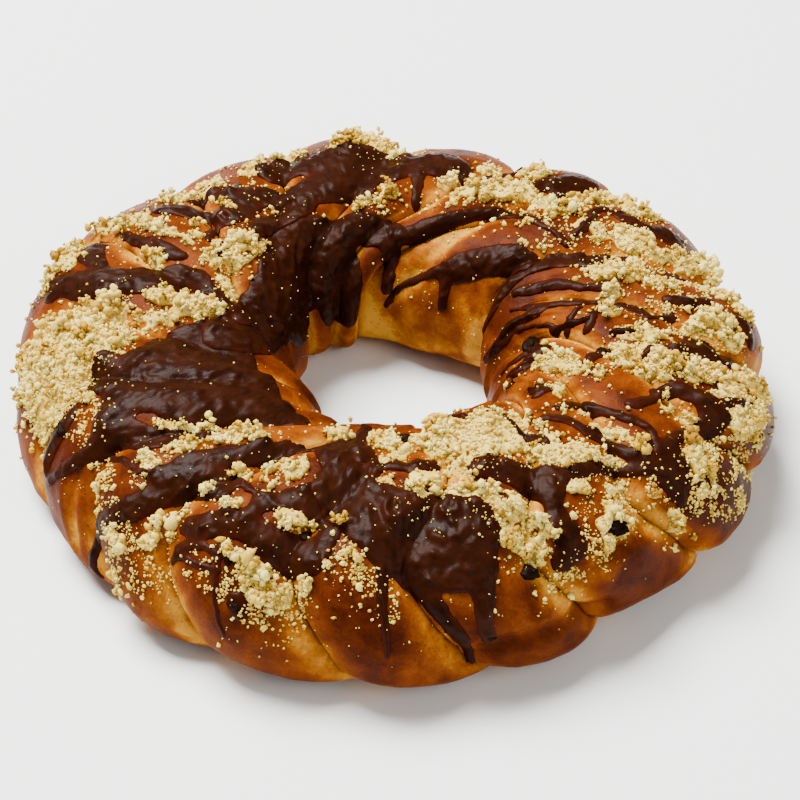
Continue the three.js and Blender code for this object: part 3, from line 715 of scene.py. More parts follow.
STREUSEL = {
    "streusel_left": (
        ("streusel_left",),
        (
            ((176, 0.6, 16), (181, 0.615, 24), (186, 0.62, 24)), ((184, 0.565, 14), (187, 0.57, 12)),
            ((180, 0.67, 24), (186, 0.68, 24), (192, 0.69, 22), (196, 0.7, 12)),
            ((190, 0.635, 16), (193, 0.64, 10)), ((176, 0.66, 8), (178, 0.72, 10), (186, 0.735, 10)),
            ((196.5, 0.635, 4), (198.5, 0.605, 5), (200, 0.59, 3)), ((193.5, 0.745, 6), (197, 0.735, 6)),
        ),
    ),
    "streusel_left_back": (
        ("streusel_left_back",),
        (
            ((172, 0.6, 6), (174, 0.58, 10), (176, 0.555, 12), (177.5, 0.53, 9), (178.5, 0.49, 6),
             (178.5, 0.45, 5), (177.5, 0.42, 4)),
            ((168, 0.57, 7), (170.5, 0.575, 8)), ((167, 0.5, 8), (171, 0.485, 14), (173.5, 0.46, 12)),
            ((168, 0.445, 10), (171, 0.42, 10)), ((181, 0.55, 6), (185, 0.545, 6), (188, 0.545, 5)),
        ),
    ),
    "streusel_back_left": (
        ("streusel_back_left",),
        (
            ((138, 0.425, 10), (143, 0.44, 14), (149, 0.45, 15), (154, 0.455, 12)),
            ((156, 0.445, 6), (160, 0.42, 6), (163, 0.385, 6)), ((157, 0.545, 9), (159, 0.52, 6)),
            ((147.5, 0.6, 10), (148, 0.565, 8), (149.5, 0.535, 7), (151, 0.51, 4)),
            ((149, 0.65, 8), (148, 0.62, 8)), ((157, 0.66, 12), (161, 0.66, 12), (165, 0.69, 6)),
            ((144, 0.52, 5), (147, 0.505, 5)),
        ),
    ),
    "streusel_back": (
        ("streusel_back",),
        (
            ((88, 0.6, 12), (93, 0.595, 18), (99, 0.585, 16), (103, 0.58, 8)),
            ((105.5, 0.57, 6), (106, 0.575, 6)), ((116, 0.59, 8), (119, 0.585, 10), (121, 0.59, 8)),
            ((110, 0.605, 8), (114, 0.6, 8)), ((91, 0.475, 8), (92, 0.478, 8)),
            ((112, 0.42, 5), (115, 0.415, 5)), ((95, 0.455, 4), (99, 0.448, 5), (102, 0.44, 4)),
            ((119, 0.49, 6), (121, 0.5, 7)), ((124, 0.485, 6), (126, 0.48, 5)),
            ((121.5, 0.53, 4), (125, 0.515, 4)), ((127, 0.545, 4), (130, 0.545, 4)),
            ((130, 0.575, 9), (135, 0.59, 9), (138, 0.6, 8)), ((133, 0.515, 5), (138, 0.51, 5)),
            ((127, 0.61, 8), (131, 0.62, 8)),
        ),
    ),
    "streusel_right_back": (
        ("streusel_right_back",),
        (
            ((78, 0.515, 5), (75.5, 0.52, 6)), ((79, 0.46, 4), (75, 0.47, 5), (72, 0.49, 5)),
            ((70, 0.505, 8), (66, 0.51, 10), (61, 0.52, 10), (56, 0.525, 9), (53, 0.52, 7)),
            ((53, 0.518, 6), (48, 0.515, 7), (43, 0.515, 6), (38, 0.515, 6), (33, 0.522, 6)),
            ((62, 0.575, 9), (59, 0.58, 9)), ((68, 0.575, 6), (71, 0.58, 5)),
            ((49, 0.56, 8), (46.5, 0.59, 13), (43.5, 0.61, 13), (42, 0.6, 9)),
            ((39, 0.61, 9), (36.5, 0.635, 8)), ((33, 0.55, 9), (30, 0.56, 12), (27, 0.565, 10)),
            ((24, 0.585, 9), (22.5, 0.61, 13), (22, 0.635, 12)),
            ((26, 0.68, 7), (22, 0.69, 8), (19, 0.695, 6)),
            ((22, 0.495, 10), (19, 0.505, 13), (16.5, 0.515, 9)), ((12, 0.48, 6), (11, 0.487, 6)),
            ((13, 0.54, 6), (12, 0.555, 5)), ((13, 0.63, 8), (11, 0.66, 10), (8, 0.68, 6)),
            ((4, 0.475, 5), (2.5, 0.482, 5)), ((43, 0.43, 4), (39, 0.447, 4)),
            ((50.5, 0.47, 4), (49, 0.468, 4)), ((62.5, 0.445, 3), (61.5, 0.445, 3)),
        ),
    ),
    "streusel_right": (
        ("streusel_right",),
        (
            ((343, 0.37, 6), (341.5, 0.41, 9), (340, 0.45, 8)), ((330, 0.425, 6), (328, 0.44, 6)),
            ((355, 0.5, 8), (354, 0.525, 8)), ((348, 0.495, 12), (346, 0.53, 16), (346.5, 0.56, 13)),
            ((351, 0.53, 6), (352, 0.545, 6)), ((350, 0.61, 7), (349, 0.635, 10)),
            ((361, 0.585, 6), (363, 0.6, 9), (363, 0.62, 8)), ((361, 0.64, 7), (359.5, 0.66, 6)),
            ((338, 0.555, 8), (336.5, 0.575, 8)), ((336.5, 0.61, 6), (338, 0.62, 5)),
            ((346, 0.6, 8), (345, 0.63, 9), (346, 0.66, 12), (343, 0.69, 16), (348, 0.71, 12)),
            ((352, 0.68, 10), (352, 0.72, 8)), ((340, 0.47, 4), (336, 0.48, 3)),
        ),
    ),
    "streusel_front_right": (
        ("streusel_front_right",),
        (
            ((305, 0.51, 11), (309.5, 0.53, 14), (313, 0.55, 11), (317, 0.575, 7)),
            ((321.5, 0.515, 6), (323.5, 0.54, 6), (324.5, 0.56, 5)), ((323.5, 0.575, 5), (322, 0.58, 5)),
            ((321, 0.475, 4), (324.5, 0.485, 4)), ((330, 0.645, 12), (329, 0.67, 12), (326.5, 0.7, 8)),
            ((320.5, 0.715, 5), (320, 0.75, 5)), ((305, 0.58, 6), (307.5, 0.59, 6)),
            ((312, 0.615, 6), (315, 0.62, 6)), ((318.5, 0.665, 5), (320, 0.68, 4)),
            ((306, 0.65, 6), (309, 0.64, 7), (311, 0.66, 7)), ((304.5, 0.682, 7), (306, 0.69, 6)),
            ((303, 0.42, 5), (307, 0.425, 4)), ((308.5, 0.445, 8), (310, 0.465, 8)),
        ),
    ),
    "streusel_front": (
        ("streusel_front_heap",),
        (
            ((277, 0.43, 8), (283, 0.44, 16), (289, 0.445, 22), (295, 0.445, 24), (301, 0.46, 16),
             (303, 0.485, 8)),
            ((282, 0.49, 8), (288, 0.49, 10), (294, 0.485, 8)),
            ((264, 0.41, 8), (269, 0.42, 9), (272, 0.435, 6)),
            ((265.5, 0.465, 5), (270, 0.468, 6), (274, 0.46, 5)),
            ((269.5, 0.55, 8), (274, 0.542, 12), (280, 0.54, 12)), ((274, 0.505, 5), (280, 0.51, 8)),
            ((285, 0.525, 10), (289, 0.53, 9)),
            ((286, 0.55, 9), (291, 0.567, 10), (294, 0.585, 9), (297, 0.613, 8), (299, 0.635, 5)),
            ((293, 0.55, 4), (294, 0.56, 4)), ((288.5, 0.6, 12), (291.5, 0.62, 12), (294, 0.65, 10)),
            ((264, 0.505, 5), (269, 0.512, 5)), ((277, 0.588, 4), (278.3, 0.592, 5)),
            ((294, 0.71, 5), (295.5, 0.715, 5)),
        ),
    ),
    "streusel_front_left": (
        ("streusel_front_left", "streusel_front_step"),
        (
            ((213.5, 0.545, 4), (217, 0.525, 6), (221, 0.507, 7), (226, 0.5, 8), (231, 0.485, 8),
             (236, 0.485, 8)),
            ((220, 0.56, 4), (222, 0.545, 7), (223.5, 0.54, 6)), ((218.5, 0.595, 6), (221.5, 0.595, 8)),
            ((233.6, 0.575, 7), (234.2, 0.57, 7)), ((231, 0.62, 5), (230.5, 0.645, 7)),
            ((229.5, 0.665, 7), (231.5, 0.675, 6)), ((229, 0.695, 6), (229.5, 0.705, 5)),
            ((222, 0.725, 6), (225, 0.73, 7)), ((224.5, 0.79, 5), (226, 0.8, 4)),
            ((212, 0.67, 3), (215.5, 0.69, 5), (217, 0.7, 4)), ((236, 0.53, 5), (239, 0.53, 6)),
            ((241.5, 0.52, 6), (245, 0.515, 9), (248, 0.505, 8)), ((243.5, 0.553, 3), (247, 0.552, 3)),
            ((239, 0.59, 6), (240, 0.585, 7)), ((243.5, 0.59, 6), (244.5, 0.585, 6)),
            ((251, 0.53, 6), (253.5, 0.53, 6)), ((250, 0.572, 8), (253, 0.575, 11), (255.5, 0.578, 8)),
            ((251, 0.41, 7), (255, 0.42, 7)), ((259.5, 0.625, 6), (262, 0.61, 8), (264, 0.62, 4)),
            ((242.5, 0.64, 5), (246, 0.65, 6), (249.5, 0.66, 6)),
            ((247, 0.68, 7), (250, 0.7, 8), (253, 0.7, 9)), ((256, 0.675, 6), (257, 0.67, 6)),
            ((260.3, 0.565, 6), (260.8, 0.566, 6)),
        ),
    ),
}

# Each raisin's CAD node, its place on the crust and its length in millimetres.
RAISINS = (
    ("raisin_front_left", 254.5, 0.6, 9),
    ("raisin_front", 291.5, 0.675, 10),
    ("raisin_front_right", 308.3, 0.672, 11),
    ("raisin_right", 348.5, 0.465, 9),
    ("raisin_left", 200, 0.68, 9),
)

# Raisins and burnt bits that belong to no node of their own: angle, girth and length.
EXTRA_RAISINS = (
    (246.5, 0.73, 7),
    (243.5, 0.66, 6),
    (284, 0.77, 5),
    (274, 0.4, 7),
    (358, 0.345, 12),
)

# Lumps of streusel that stand out from the rest: angle, girth, width in millimetres, and how golden they are.
NUGGETS = (
    (91, 0.475, 8, 0.05),
    (99.5, 0.58, 8, 0.05),
    (172, 0.68, 7, 0.1),
    (285.5, 0.525, 7, 0.1),
    (260.5, 0.565, 6, 0.1),
    (233.8, 0.575, 7, 0.6),
    (239.5, 0.585, 5, 0.6),
    (11.5, 0.485, 6, 0.6),
)

# Where the crust is darker (above 0) or paler (below 0) than the rest, as strokes like the toppings' strokes.
# Most are the oven's browning; the two darker strokes marked below are painted shade.
BROWNING_AND_PAINTED_SHADE = (
    (0.3, ((324, 0.72, 14), (331, 0.74, 26), (338, 0.76, 30), (345, 0.74, 20))),
    (0.24, ((298, 0.83, 12), (306, 0.81, 18), (315, 0.8, 20), (322, 0.8, 14))),
    (0.24, ((187, 0.66, 18), (195, 0.7, 26), (204, 0.72, 24), (212, 0.73, 16))),
    (0.2, ((268, 0.72, 14), (274, 0.73, 20), (279, 0.75, 16))),
    # Painted shade: darker crust on the inner wall from 4 to 46 degrees, where the hole lies in shade.
    (0.26, ((4, 0.33, 12), (18, 0.33, 18), (33, 0.32, 18), (46, 0.29, 14))),
    (0.24, ((335, 0.74, 16), (341, 0.78, 24), (348, 0.81, 20))),
    (0.18, ((308, 0.74, 12), (312, 0.74, 12))),
    (0.16, ((198, 0.7, 12), (202, 0.7, 12))),
    # Painted shade: darker crust under the low crease on the front of the outer wall.
    (0.14, ((281, 0.84, 24), (291, 0.85, 24), (302, 0.84, 22))),
    (0.13, ((258, 0.65, 16), (262, 0.72, 32), (266, 0.79, 26))),
    (0.3, ((291, 0.71, 3), (291, 0.75, 3))),
    (-0.3, ((236, 0.445, 12), (242, 0.44, 14), (248, 0.435, 10))),
    (-0.3, ((273, 0.45, 10), (278, 0.455, 11), (283, 0.455, 8))),
    (-0.28, ((302, 0.715, 7), (305, 0.735, 7))),
    (-0.28, ((310.5, 0.7, 6), (311.5, 0.7, 6))),
    (-0.25, ((155, 0.53, 8), (158, 0.56, 9), (160, 0.585, 7))),
    (-0.2, ((345, 0.38, 28), (358, 0.37, 30), (372, 0.37, 24))),
    (-0.2, ((55, 0.25, 30), (75, 0.22, 34), (95, 0.2, 34), (108, 0.2, 20))),
    (-0.5, ((209, 0.72, 5), (211, 0.77, 6), (213, 0.82, 4))),
    (-0.45, ((64, 0.43, 6), (72, 0.37, 7), (80, 0.3, 6), (90, 0.25, 5))),
)

# Where fine crumbs lie thick away from the heaps: strokes.
SPRINKLED = (
    ((320, 0.64, 14), (328, 0.69, 26), (336, 0.73, 32), (344, 0.72, 24)),
    ((297, 0.7, 8), (304, 0.68, 16), (312, 0.66, 18), (318, 0.64, 14)),
    ((262, 0.62, 12), (267, 0.66, 14), (269, 0.7, 10)),
    ((212, 0.66, 10), (218, 0.7, 16), (226, 0.74, 18), (233, 0.76, 12)),
    ((238, 0.68, 10), (247, 0.7, 14), (254, 0.73, 16)),
    ((190, 0.58, 16), (198, 0.62, 24), (206, 0.62, 16)),
    ((350, 0.56, 24), (362, 0.58, 26), (374, 0.56, 22)),
    ((22, 0.52, 18), (40, 0.52, 22), (58, 0.52, 18)),
)

# Creases and tears besides those between strands: depth in millimetres and a stroke.
TEARS = (
    (3.0, ((280, 0.805, 2), (287, 0.785, 3), (296, 0.785, 3), (304, 0.8, 2))),
    (2.0, ((291, 0.7, 2), (291, 0.75, 2))),
    (2.6, ((209, 0.71, 2), (211, 0.77, 3), (213, 0.83, 2))),
    (2.0, ((64, 0.43, 2.5), (72, 0.37, 3), (80, 0.3, 3), (90, 0.25, 2))),
    (2.2, ((302, 0.71, 2), (306, 0.695, 3), (312, 0.7, 3), (317, 0.72, 2))),
)


MELT = 2.5  # how near two strokes must be in size, in millimetres, to melt into each other
EDGE_DEPTH = 0.35  # millimetres that the edge of a topping is tucked under the crust
FOOT_DEPTH = 0.9  # millimetres that its lower side lies under what it stands on
CRUMB_KINDS = 10  # different grains, which the crumbs copy
# Meridians and parallels of a grain in a lump, in the sprinkled places and in the dust.
LUMP_GRID, SPRINKLED_GRID, DUST_GRID = (6, 4), (5, 4), (4, 3)
LUMP_SPREAD = 0.24  # how far a lump's grains lie from its middle, as a share of its width
GRAIN_WIDTH = 0.34  # width of a grain in a lump, as a share of the lump's width


def inside_stroke(angle, girth, degree, stroke):
    """How far inside a stroke each place lies, in millimetres: the half width of the stroke's nearest
    point less the distance to it."""
    inside = np.full(np.broadcast(angle, girth).shape, OUTSIDE)
    for (a, g, wide), (b, h, wide_after) in zip(stroke, stroke[1:]):
        x, y = (np.mod(angle - a + 180, 360) - 180) * degree, (girth - g) * CRUST_LENGTH
        along_x, along_y = (b - a) * degree, (h - g) * CRUST_LENGTH
        share = np.clip((x * along_x + y * along_y) / (along_x**2 + along_y**2), 0, 1)
        away = np.hypot(x - share * along_x, y - share * along_y)
        inside = np.maximum(inside, mix(wide, wide_after, share) / 2 - away)
    return inside


def dome(inside, width):
    """0 at an edge, rising steeply along a quarter circle to 1 at `width` inside it."""
    share = np.clip(inside / width, 0, 1)
    return np.sqrt(1 - (1 - share) ** 2)


def blurred(values, passes):
    """Each pass mixes every place with its neighbours along both grid ways, by quarters and a half."""
    for _ in range(passes):
        values = (np.roll(values, 1, 0) + np.roll(values, -1, 0)) / 4 + values / 2
        padded = np.pad(values, ((0, 0), (1, 1)), mode="edge")
        values = (padded[:, :-2] + padded[:, 2:]) / 4 + values / 2
    return values


class CrustMap:
    """The crust on a regular grid of angle and girth, with the height of what lies on it so far."""

    COLUMNS, ROWS = 1200, 281

    def __init__(self, dough):
        self.angles = np.arange(self.COLUMNS) * 360 / self.COLUMNS
        self.girths = np.linspace(0, 1, self.ROWS)
        angle, girth = np.meshgrid(self.angles, self.girths, indexing="ij")
        self.points, self.spokes, self.relief, _ = dough.crust(dough.strand_at(angle, girth), girth)
        self.degree = np.hypot(self.points[..., 0], self.points[..., 1]) * math.radians(1)
        self.heaped = np.zeros_like(angle)
        self.glazed = np.full_like(angle, OUTSIDE)
        self.strewn = np.zeros(angle.shape, dtype=bool)
        drift = [1.2 * noise(self.points, 15, 21 + i) + 0.6 * noise(self.points, 4, 23 + i) for i in range(2)]
        self.angle_drift = drift[0] / self.degree
        self.girth_drift = drift[1] / CRUST_LENGTH

    def window(self, strokes, margin):
        """The columns of the map from the strokes' first angle to their last, with a margin in degrees."""
        reached = [angle for stroke in strokes for angle, _, _ in stroke]
        step = 360 / self.COLUMNS
        low, high = int((min(reached) - margin) / step), int((max(reached) + margin) / step)
        return np.arange(low, high)

    def field(self, columns, strokes):
        """How far inside the strokes each place lies, in millimetres: a smooth maximum over the strokes. The
        places drift by noise, so that the outline runs unevenly."""
        at = columns % self.COLUMNS
        angle = (columns * 360 / self.COLUMNS)[:, None] + self.angle_drift[at]
        girth = self.girths[None, :] + self.girth_drift[at]
        degree = self.degree[at]
        best = np.full(angle.shape, OUTSIDE)
        for stroke in strokes:
            inside = inside_stroke(angle, girth, degree, stroke)
            meeting = np.maximum(MELT - np.abs(best - inside), 0)
            best = np.maximum(best, inside) + meeting**2 / (4 * MELT)
        return best

    def pick(self, values, column, row):
        """Values of the map between its points: a straight mix of the four round a place."""
        left, low = np.floor(column).astype(int), np.floor(row).astype(int).clip(0, self.ROWS - 2)
        across, up = column - left, row - low
        if values.ndim == 3:
            across, up = across[..., None], up[..., None]
        left, right = left % self.COLUMNS, (left + 1) % self.COLUMNS
        below = mix(values[left, low], values[right, low], across)
        return mix(below, mix(values[left, low + 1], values[right, low + 1], across), up)

    def above(self, column, row, lift):
        """Points that stand `lift` above whatever lies highest at places of the map."""
        lift = lift + self.pick(self.heaped, column, row)
        return self.pick(self.points, column, row) + self.pick(self.spokes, column, row) * lift[:, None]


def covered(inside):
    """The places of the map inside a topping, the cells that touch one, and all corners of those cells."""
    kept = inside > 0
    cells = kept[:-1, :-1] | kept[1:, :-1] | kept[:-1, 1:] | kept[1:, 1:]
    used = np.zeros_like(kept)
    for across in (0, 1):
        for up in (0, 1):
            used[across : used.shape[0] - 1 + across, up : used.shape[1] - 1 + up] |= cells
    return kept, cells, used


def topping_skin(crust, columns, inside, under, top):
    """A closed skin over the part of the map where `inside` is above 0. Its upper side stands `top` above the
    crust. Points just outside slide down the slope of `inside` to where it is 0, and tuck in under the crust.
    The lower side follows just under what it lies on. Gives points and faces."""
    kept, cells, used = covered(inside)
    slope_x, slope_y = np.gradient(inside)
    steep = np.maximum(slope_x**2 + slope_y**2, 1e-6)
    slide = np.where(kept, 0, -inside / steep)
    column, row = np.meshgrid(columns.astype(float), np.arange(inside.shape[1], dtype=float), indexing="ij")
    column = (column + np.clip(slide * slope_x, -0.95, 0.95))[used]
    row = (row + np.clip(slide * slope_y, -0.95, 0.95))[used]
    points, spokes = crust.pick(crust.points, column, row), crust.pick(crust.spokes, column, row)
    lifts = np.where(kept, top, under - EDGE_DEPTH)[used]
    deep = kept[used]
    upper = points + spokes * lifts[:, None]
    lower = (points + spokes * (under[used] - FOOT_DEPTH)[:, None])[deep]
    numbers = np.full(kept.shape, -1)
    numbers[used] = np.arange(len(upper))
    below = numbers.copy()
    below[kept] = len(upper) + np.arange(len(lower))
    corners = ((0, 0), (0, 1), (1, 1), (1, 0))
    limit = (kept.shape[0] - 1, kept.shape[1] - 1)

    def quads(index, order):
        parts = [index[i : limit[0] + i, j : limit[1] + j][cells] for i, j in order]
        return np.stack(parts, axis=-1)

    faces = np.concatenate([quads(numbers, corners), quads(below, corners[::-1])])
    return np.concatenate([upper, lower]), faces


def ball_faces(meridians, parallels):
    """Faces of a ball whose points run down each meridian in turn, followed by its two poles: quads
    between the parallels, and triangles round each pole."""
    index = np.arange(meridians * (parallels - 1)).reshape(meridians, parallels - 1)
    after = np.roll(index, -1, axis=0)
    sides = np.stack([index[:, :-1], index[:, 1:], after[:, 1:], after[:, :-1]], axis=-1).reshape(-1, 4)
    first, last = np.full(meridians, index.size), np.full(meridians, index.size + 1)
    top = np.stack([first, index[:, 0], after[:, 0]], axis=-1)
    return sides, top, np.stack([index[:, -1], last, after[:, -1]], axis=-1)


def crumb_shape(meridians, parallels, rng):
    """A lumpy grain on a grid of meridians and parallels: a ball whose radius follows three slow random
    waves. Gives points of about unit radius, quads, and the triangles of each pole."""
    around_it, down = np.meshgrid(np.arange(meridians), np.arange(1, parallels), indexing="ij")
    turn, tilt = 2 * np.pi * around_it / meridians, np.pi * down / parallels
    ring = np.sin(tilt)
    ball = np.stack([ring * np.cos(turn), ring * np.sin(turn), np.cos(tilt)], axis=-1)
    ball = np.concatenate([ball.reshape(-1, 3), [[0, 0, 1], [0, 0, -1]]])
    waves = rng.normal(0, 2.8, (3, 3))
    ball = ball * (1 + 0.24 * np.sin(ball @ waves.T + rng.uniform(0, 6.28, 3)).sum(axis=-1, keepdims=True))
    return ball, *ball_faces(meridians, parallels)


def turned(count, rng):
    """Random turns as matrices, from random quaternions."""
    w, x, y, z = rng.normal(size=(4, count))
    length = np.sqrt(w * w + x * x + y * y + z * z)
    w, x, y, z = w / length, x / length, y / length, z / length
    rows = [
        [1 - 2 * (y * y + z * z), 2 * (x * y - z * w), 2 * (x * z + y * w)],
        [2 * (x * y + z * w), 1 - 2 * (x * x + z * z), 2 * (y * z - x * w)],
        [2 * (x * z - y * w), 2 * (y * z + x * w), 1 - 2 * (x * x + y * y)],
    ]
    return np.moveaxis(np.array(rows), -1, 0)


def clumps_at(centres, widths, shades, grains, rng):
    """Lumps of streusel, each a handful of grains pressed together: the grains lie round the middle of
    the lump by a normal spread, so that they crowd at its heart and stand proud at its edge."""
    count = len(centres)
    offsets = rng.normal(0, 1, (count, grains, 3)) * (widths * LUMP_SPREAD)[:, None, None]
    sizes = widths[:, None] * GRAIN_WIDTH * np.exp(rng.normal(0, 0.25, (count, grains)))
    tones = shades[:, None] + rng.normal(0, 0.09, (count, grains))
    places = (centres[:, None] + offsets).reshape(-1, 3)
    return crumbs_at(places, sizes.ravel(), tones.ravel(), rng, LUMP_GRID)


def crumbs_at(places, sizes, shades, rng, grid):
    """Crumbs of the given sizes round the given places, each a turned and stretched copy of one of a few
    grains. Gives points, quads, triangles and each point's tone, which is its crumb's shade."""
    points, quads, triangles, tones = [], [], [], []
    start = 0
    kind_of = rng.integers(0, CRUMB_KINDS, len(places))
    for kind in range(CRUMB_KINDS):
        ball, sides, *caps = crumb_shape(*grid, rng)
        chosen = np.nonzero(kind_of == kind)[0]
        stretch = rng.uniform(0.75, 1.25, (len(chosen), 1, 3)) * sizes[chosen, None, None] / 2
        shaped = np.einsum("nij,nvj->nvi", turned(len(chosen), rng), ball[None] * stretch)
        points.append((shaped + places[chosen, None, :]).reshape(-1, 3))
        offset = start + np.arange(len(chosen))[:, None, None] * len(ball)
        quads.append((sides[None] + offset).reshape(-1, 4))
        triangles.extend((cap[None] + offset).reshape(-1, 3) for cap in caps)
        tones.append(np.repeat(shades[chosen], len(ball)))
        start += len(chosen) * len(ball)
    return np.concatenate(points), np.concatenate(quads), np.concatenate(triangles), np.concatenate(tones)


# ---------------------------------------------------------------- settings


def shown_length(name, description, default):
    """A length property shown in the scene's own unit."""
    return bpy.props.FloatProperty(
        name=name, description=description, default=default, min=0.0, subtype="DISTANCE", unit="LENGTH"
    )


def shown_colour(name, description, default):
    """A colour property, kept as an sRGB hex value."""
    return bpy.props.StringProperty(name=name, description=description, default=default)


class LoafSettings(bpy.types.PropertyGroup):
    """Sizes and colours of the baked dough."""

    ring_radius: shown_length("Ring radius", "Middle of the hole to the middle of the dough", 92.5 * MM)
    outer_half_width: shown_length(
        "Outer half width", "Half width of the dough outside the ring's line", 58 * MM
    )
    inner_half_width: shown_length("Inner half width", "Half width of the dough towards the hole", 52 * MM)
    height: shown_length("Height", "Height of the dough before its unevenness", 62 * MM)
    crease_depths: bpy.props.FloatVectorProperty(
        name="Crease depths",
        description="Depth between strands on the inner wall, the crest and the outer wall",
        default=(7 * MM, 6 * MM, 9 * MM),
        subtype="XYZ_LENGTH",
        unit="LENGTH",
    )
    pale_dough: shown_colour("Pale dough", "Dough in the creases, which the oven hardly reached", "#B88124")
    golden_crust: shown_colour("Golden crust", "The walls of the strands", "#763906")
    dark_crust: shown_colour("Dark crust", "The knuckles that stood nearest the heat", "#431806")


class ToppingSettings(bpy.types.PropertyGroup):
    """Sizes and colours of what lies on the crust."""

    glaze_thickness: shown_length("Glaze thickness", "Thickness of a wide pool of glaze", 1.7 * MM)
    heap_height: shown_length("Heap height", "Height of a heap of streusel under its loose crumbs", 3.0 * MM)
    crumb_size: shown_length("Crumb size", "Middling size of a crumb", 1.6 * MM)
    dark_glaze: shown_colour("Dark glaze", "Chocolate with no bloom", "#190702")
    bloomed_glaze: shown_colour("Bloomed glaze", "Chocolate under a thin bloom", "#2C1004")
    pale_streusel: shown_colour("Pale streusel", "Floury crumbs", "#F2DF7E")
    butter_streusel: shown_colour("Butter streusel", "Buttery crumbs", "#CEA42A")


class StageSettings(bpy.types.PropertyGroup):
    """The table, the light and the camera."""

    distance: shown_length("Camera distance", "From the loaf's middle to the camera", 1.2)
    elevation: bpy.props.FloatProperty(
        name="Camera elevation",
        description="Angle of the view above the table",
        default=math.radians(41),
        subtype="ANGLE",
        unit="ROTATION",
    )
    lens: bpy.props.FloatProperty(
        name="Lens", description="Focal length", default=135.1, subtype="DISTANCE_CAMERA", unit="CAMERA"
    )


# ---------------------------------------------------------------- operators

COLUMNS_PER_STRAND = 44
CRUST_ROWS = 108
BASE_ROWS = 10
CRUMB_SEED = 7
DUST_GRAINS = 8000
SPRINKLED_CRUMBS = 4200
MARGIN = 8  # degrees beside a topping's strokes that its drifting outline may reach
RAISIN_GRID = (40, 26)
RAISIN_FORM = (0.5, 0.36, 0.3)  # half length, half width and half height, as shares of the length
RAISIN_SUNK = 0.5  # millimetres that a raisin's middle lies under the crust
RAGGED = 4.5  # millimetres that bites reach into the edge of a heap
SHED = 0.4  # millimetres that a heap is narrower than its strokes
LEVEL_DEPTH = 2.2  # deepest hollow, in millimetres, that the glaze fills
LUMP_WIDTH = 4.2  # millimetres across a middling lump of streusel
LUMP_ROOM = 15.0  # square millimetres of heap for each lump
GRAINS_IN_LUMP = 10
ON_GLAZE = 0.03  # share of crumbs that stay on wet glaze and don't sink in
# Loose crumbs on and beside the heaps: how many, their size against a middling crumb, and their grid.
LOOSE_CRUMBS = ((0.16, 1.2, (6, 4)), (0.3, 0.7, (5, 3)))
TABLE_HALF = 4000.0  # millimetres
AIM = (2.67, -2.93, 25)  # the place that the camera looks at, in millimetres
SENSOR_WIDTH = 36.0  # millimetres
FARTHEST = 50.0  # metres that the camera sees
# Name, place in metres, size in metres, power in watts and colour.
LAMPS = (
    ("window", (-1.3, 1.2, 3.2), 2.0, 620.0, "#FFFDF8"),
    ("fill", (2.4, -2.2, 2.2), 2.8, 90.0, "#FFF9F0"),
)
ROOM_COLOUR, ROOM_STRENGTH = "#FAF9F6", 0.32


def dough_now(context):
    """The dough's shape, placed so that the middle of its box is the middle of the loaf's CAD box."""
    dough = Dough(context.scene.loaf_settings)
    strand, girth = np.meshgrid(np.arange(0, STRANDS, 1 / 12), np.linspace(0, 1, 61), indexing="ij")
    points = dough.crust(strand, girth)[0]
    low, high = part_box("loaf")
    wanted = (np.array(low) + np.array(high)) / 2 / MM
    dough.middle = (points.min(axis=(0, 1)) + points.max(axis=(0, 1))) / 2 - wanted
    dough.middle[2] = 0
    return dough


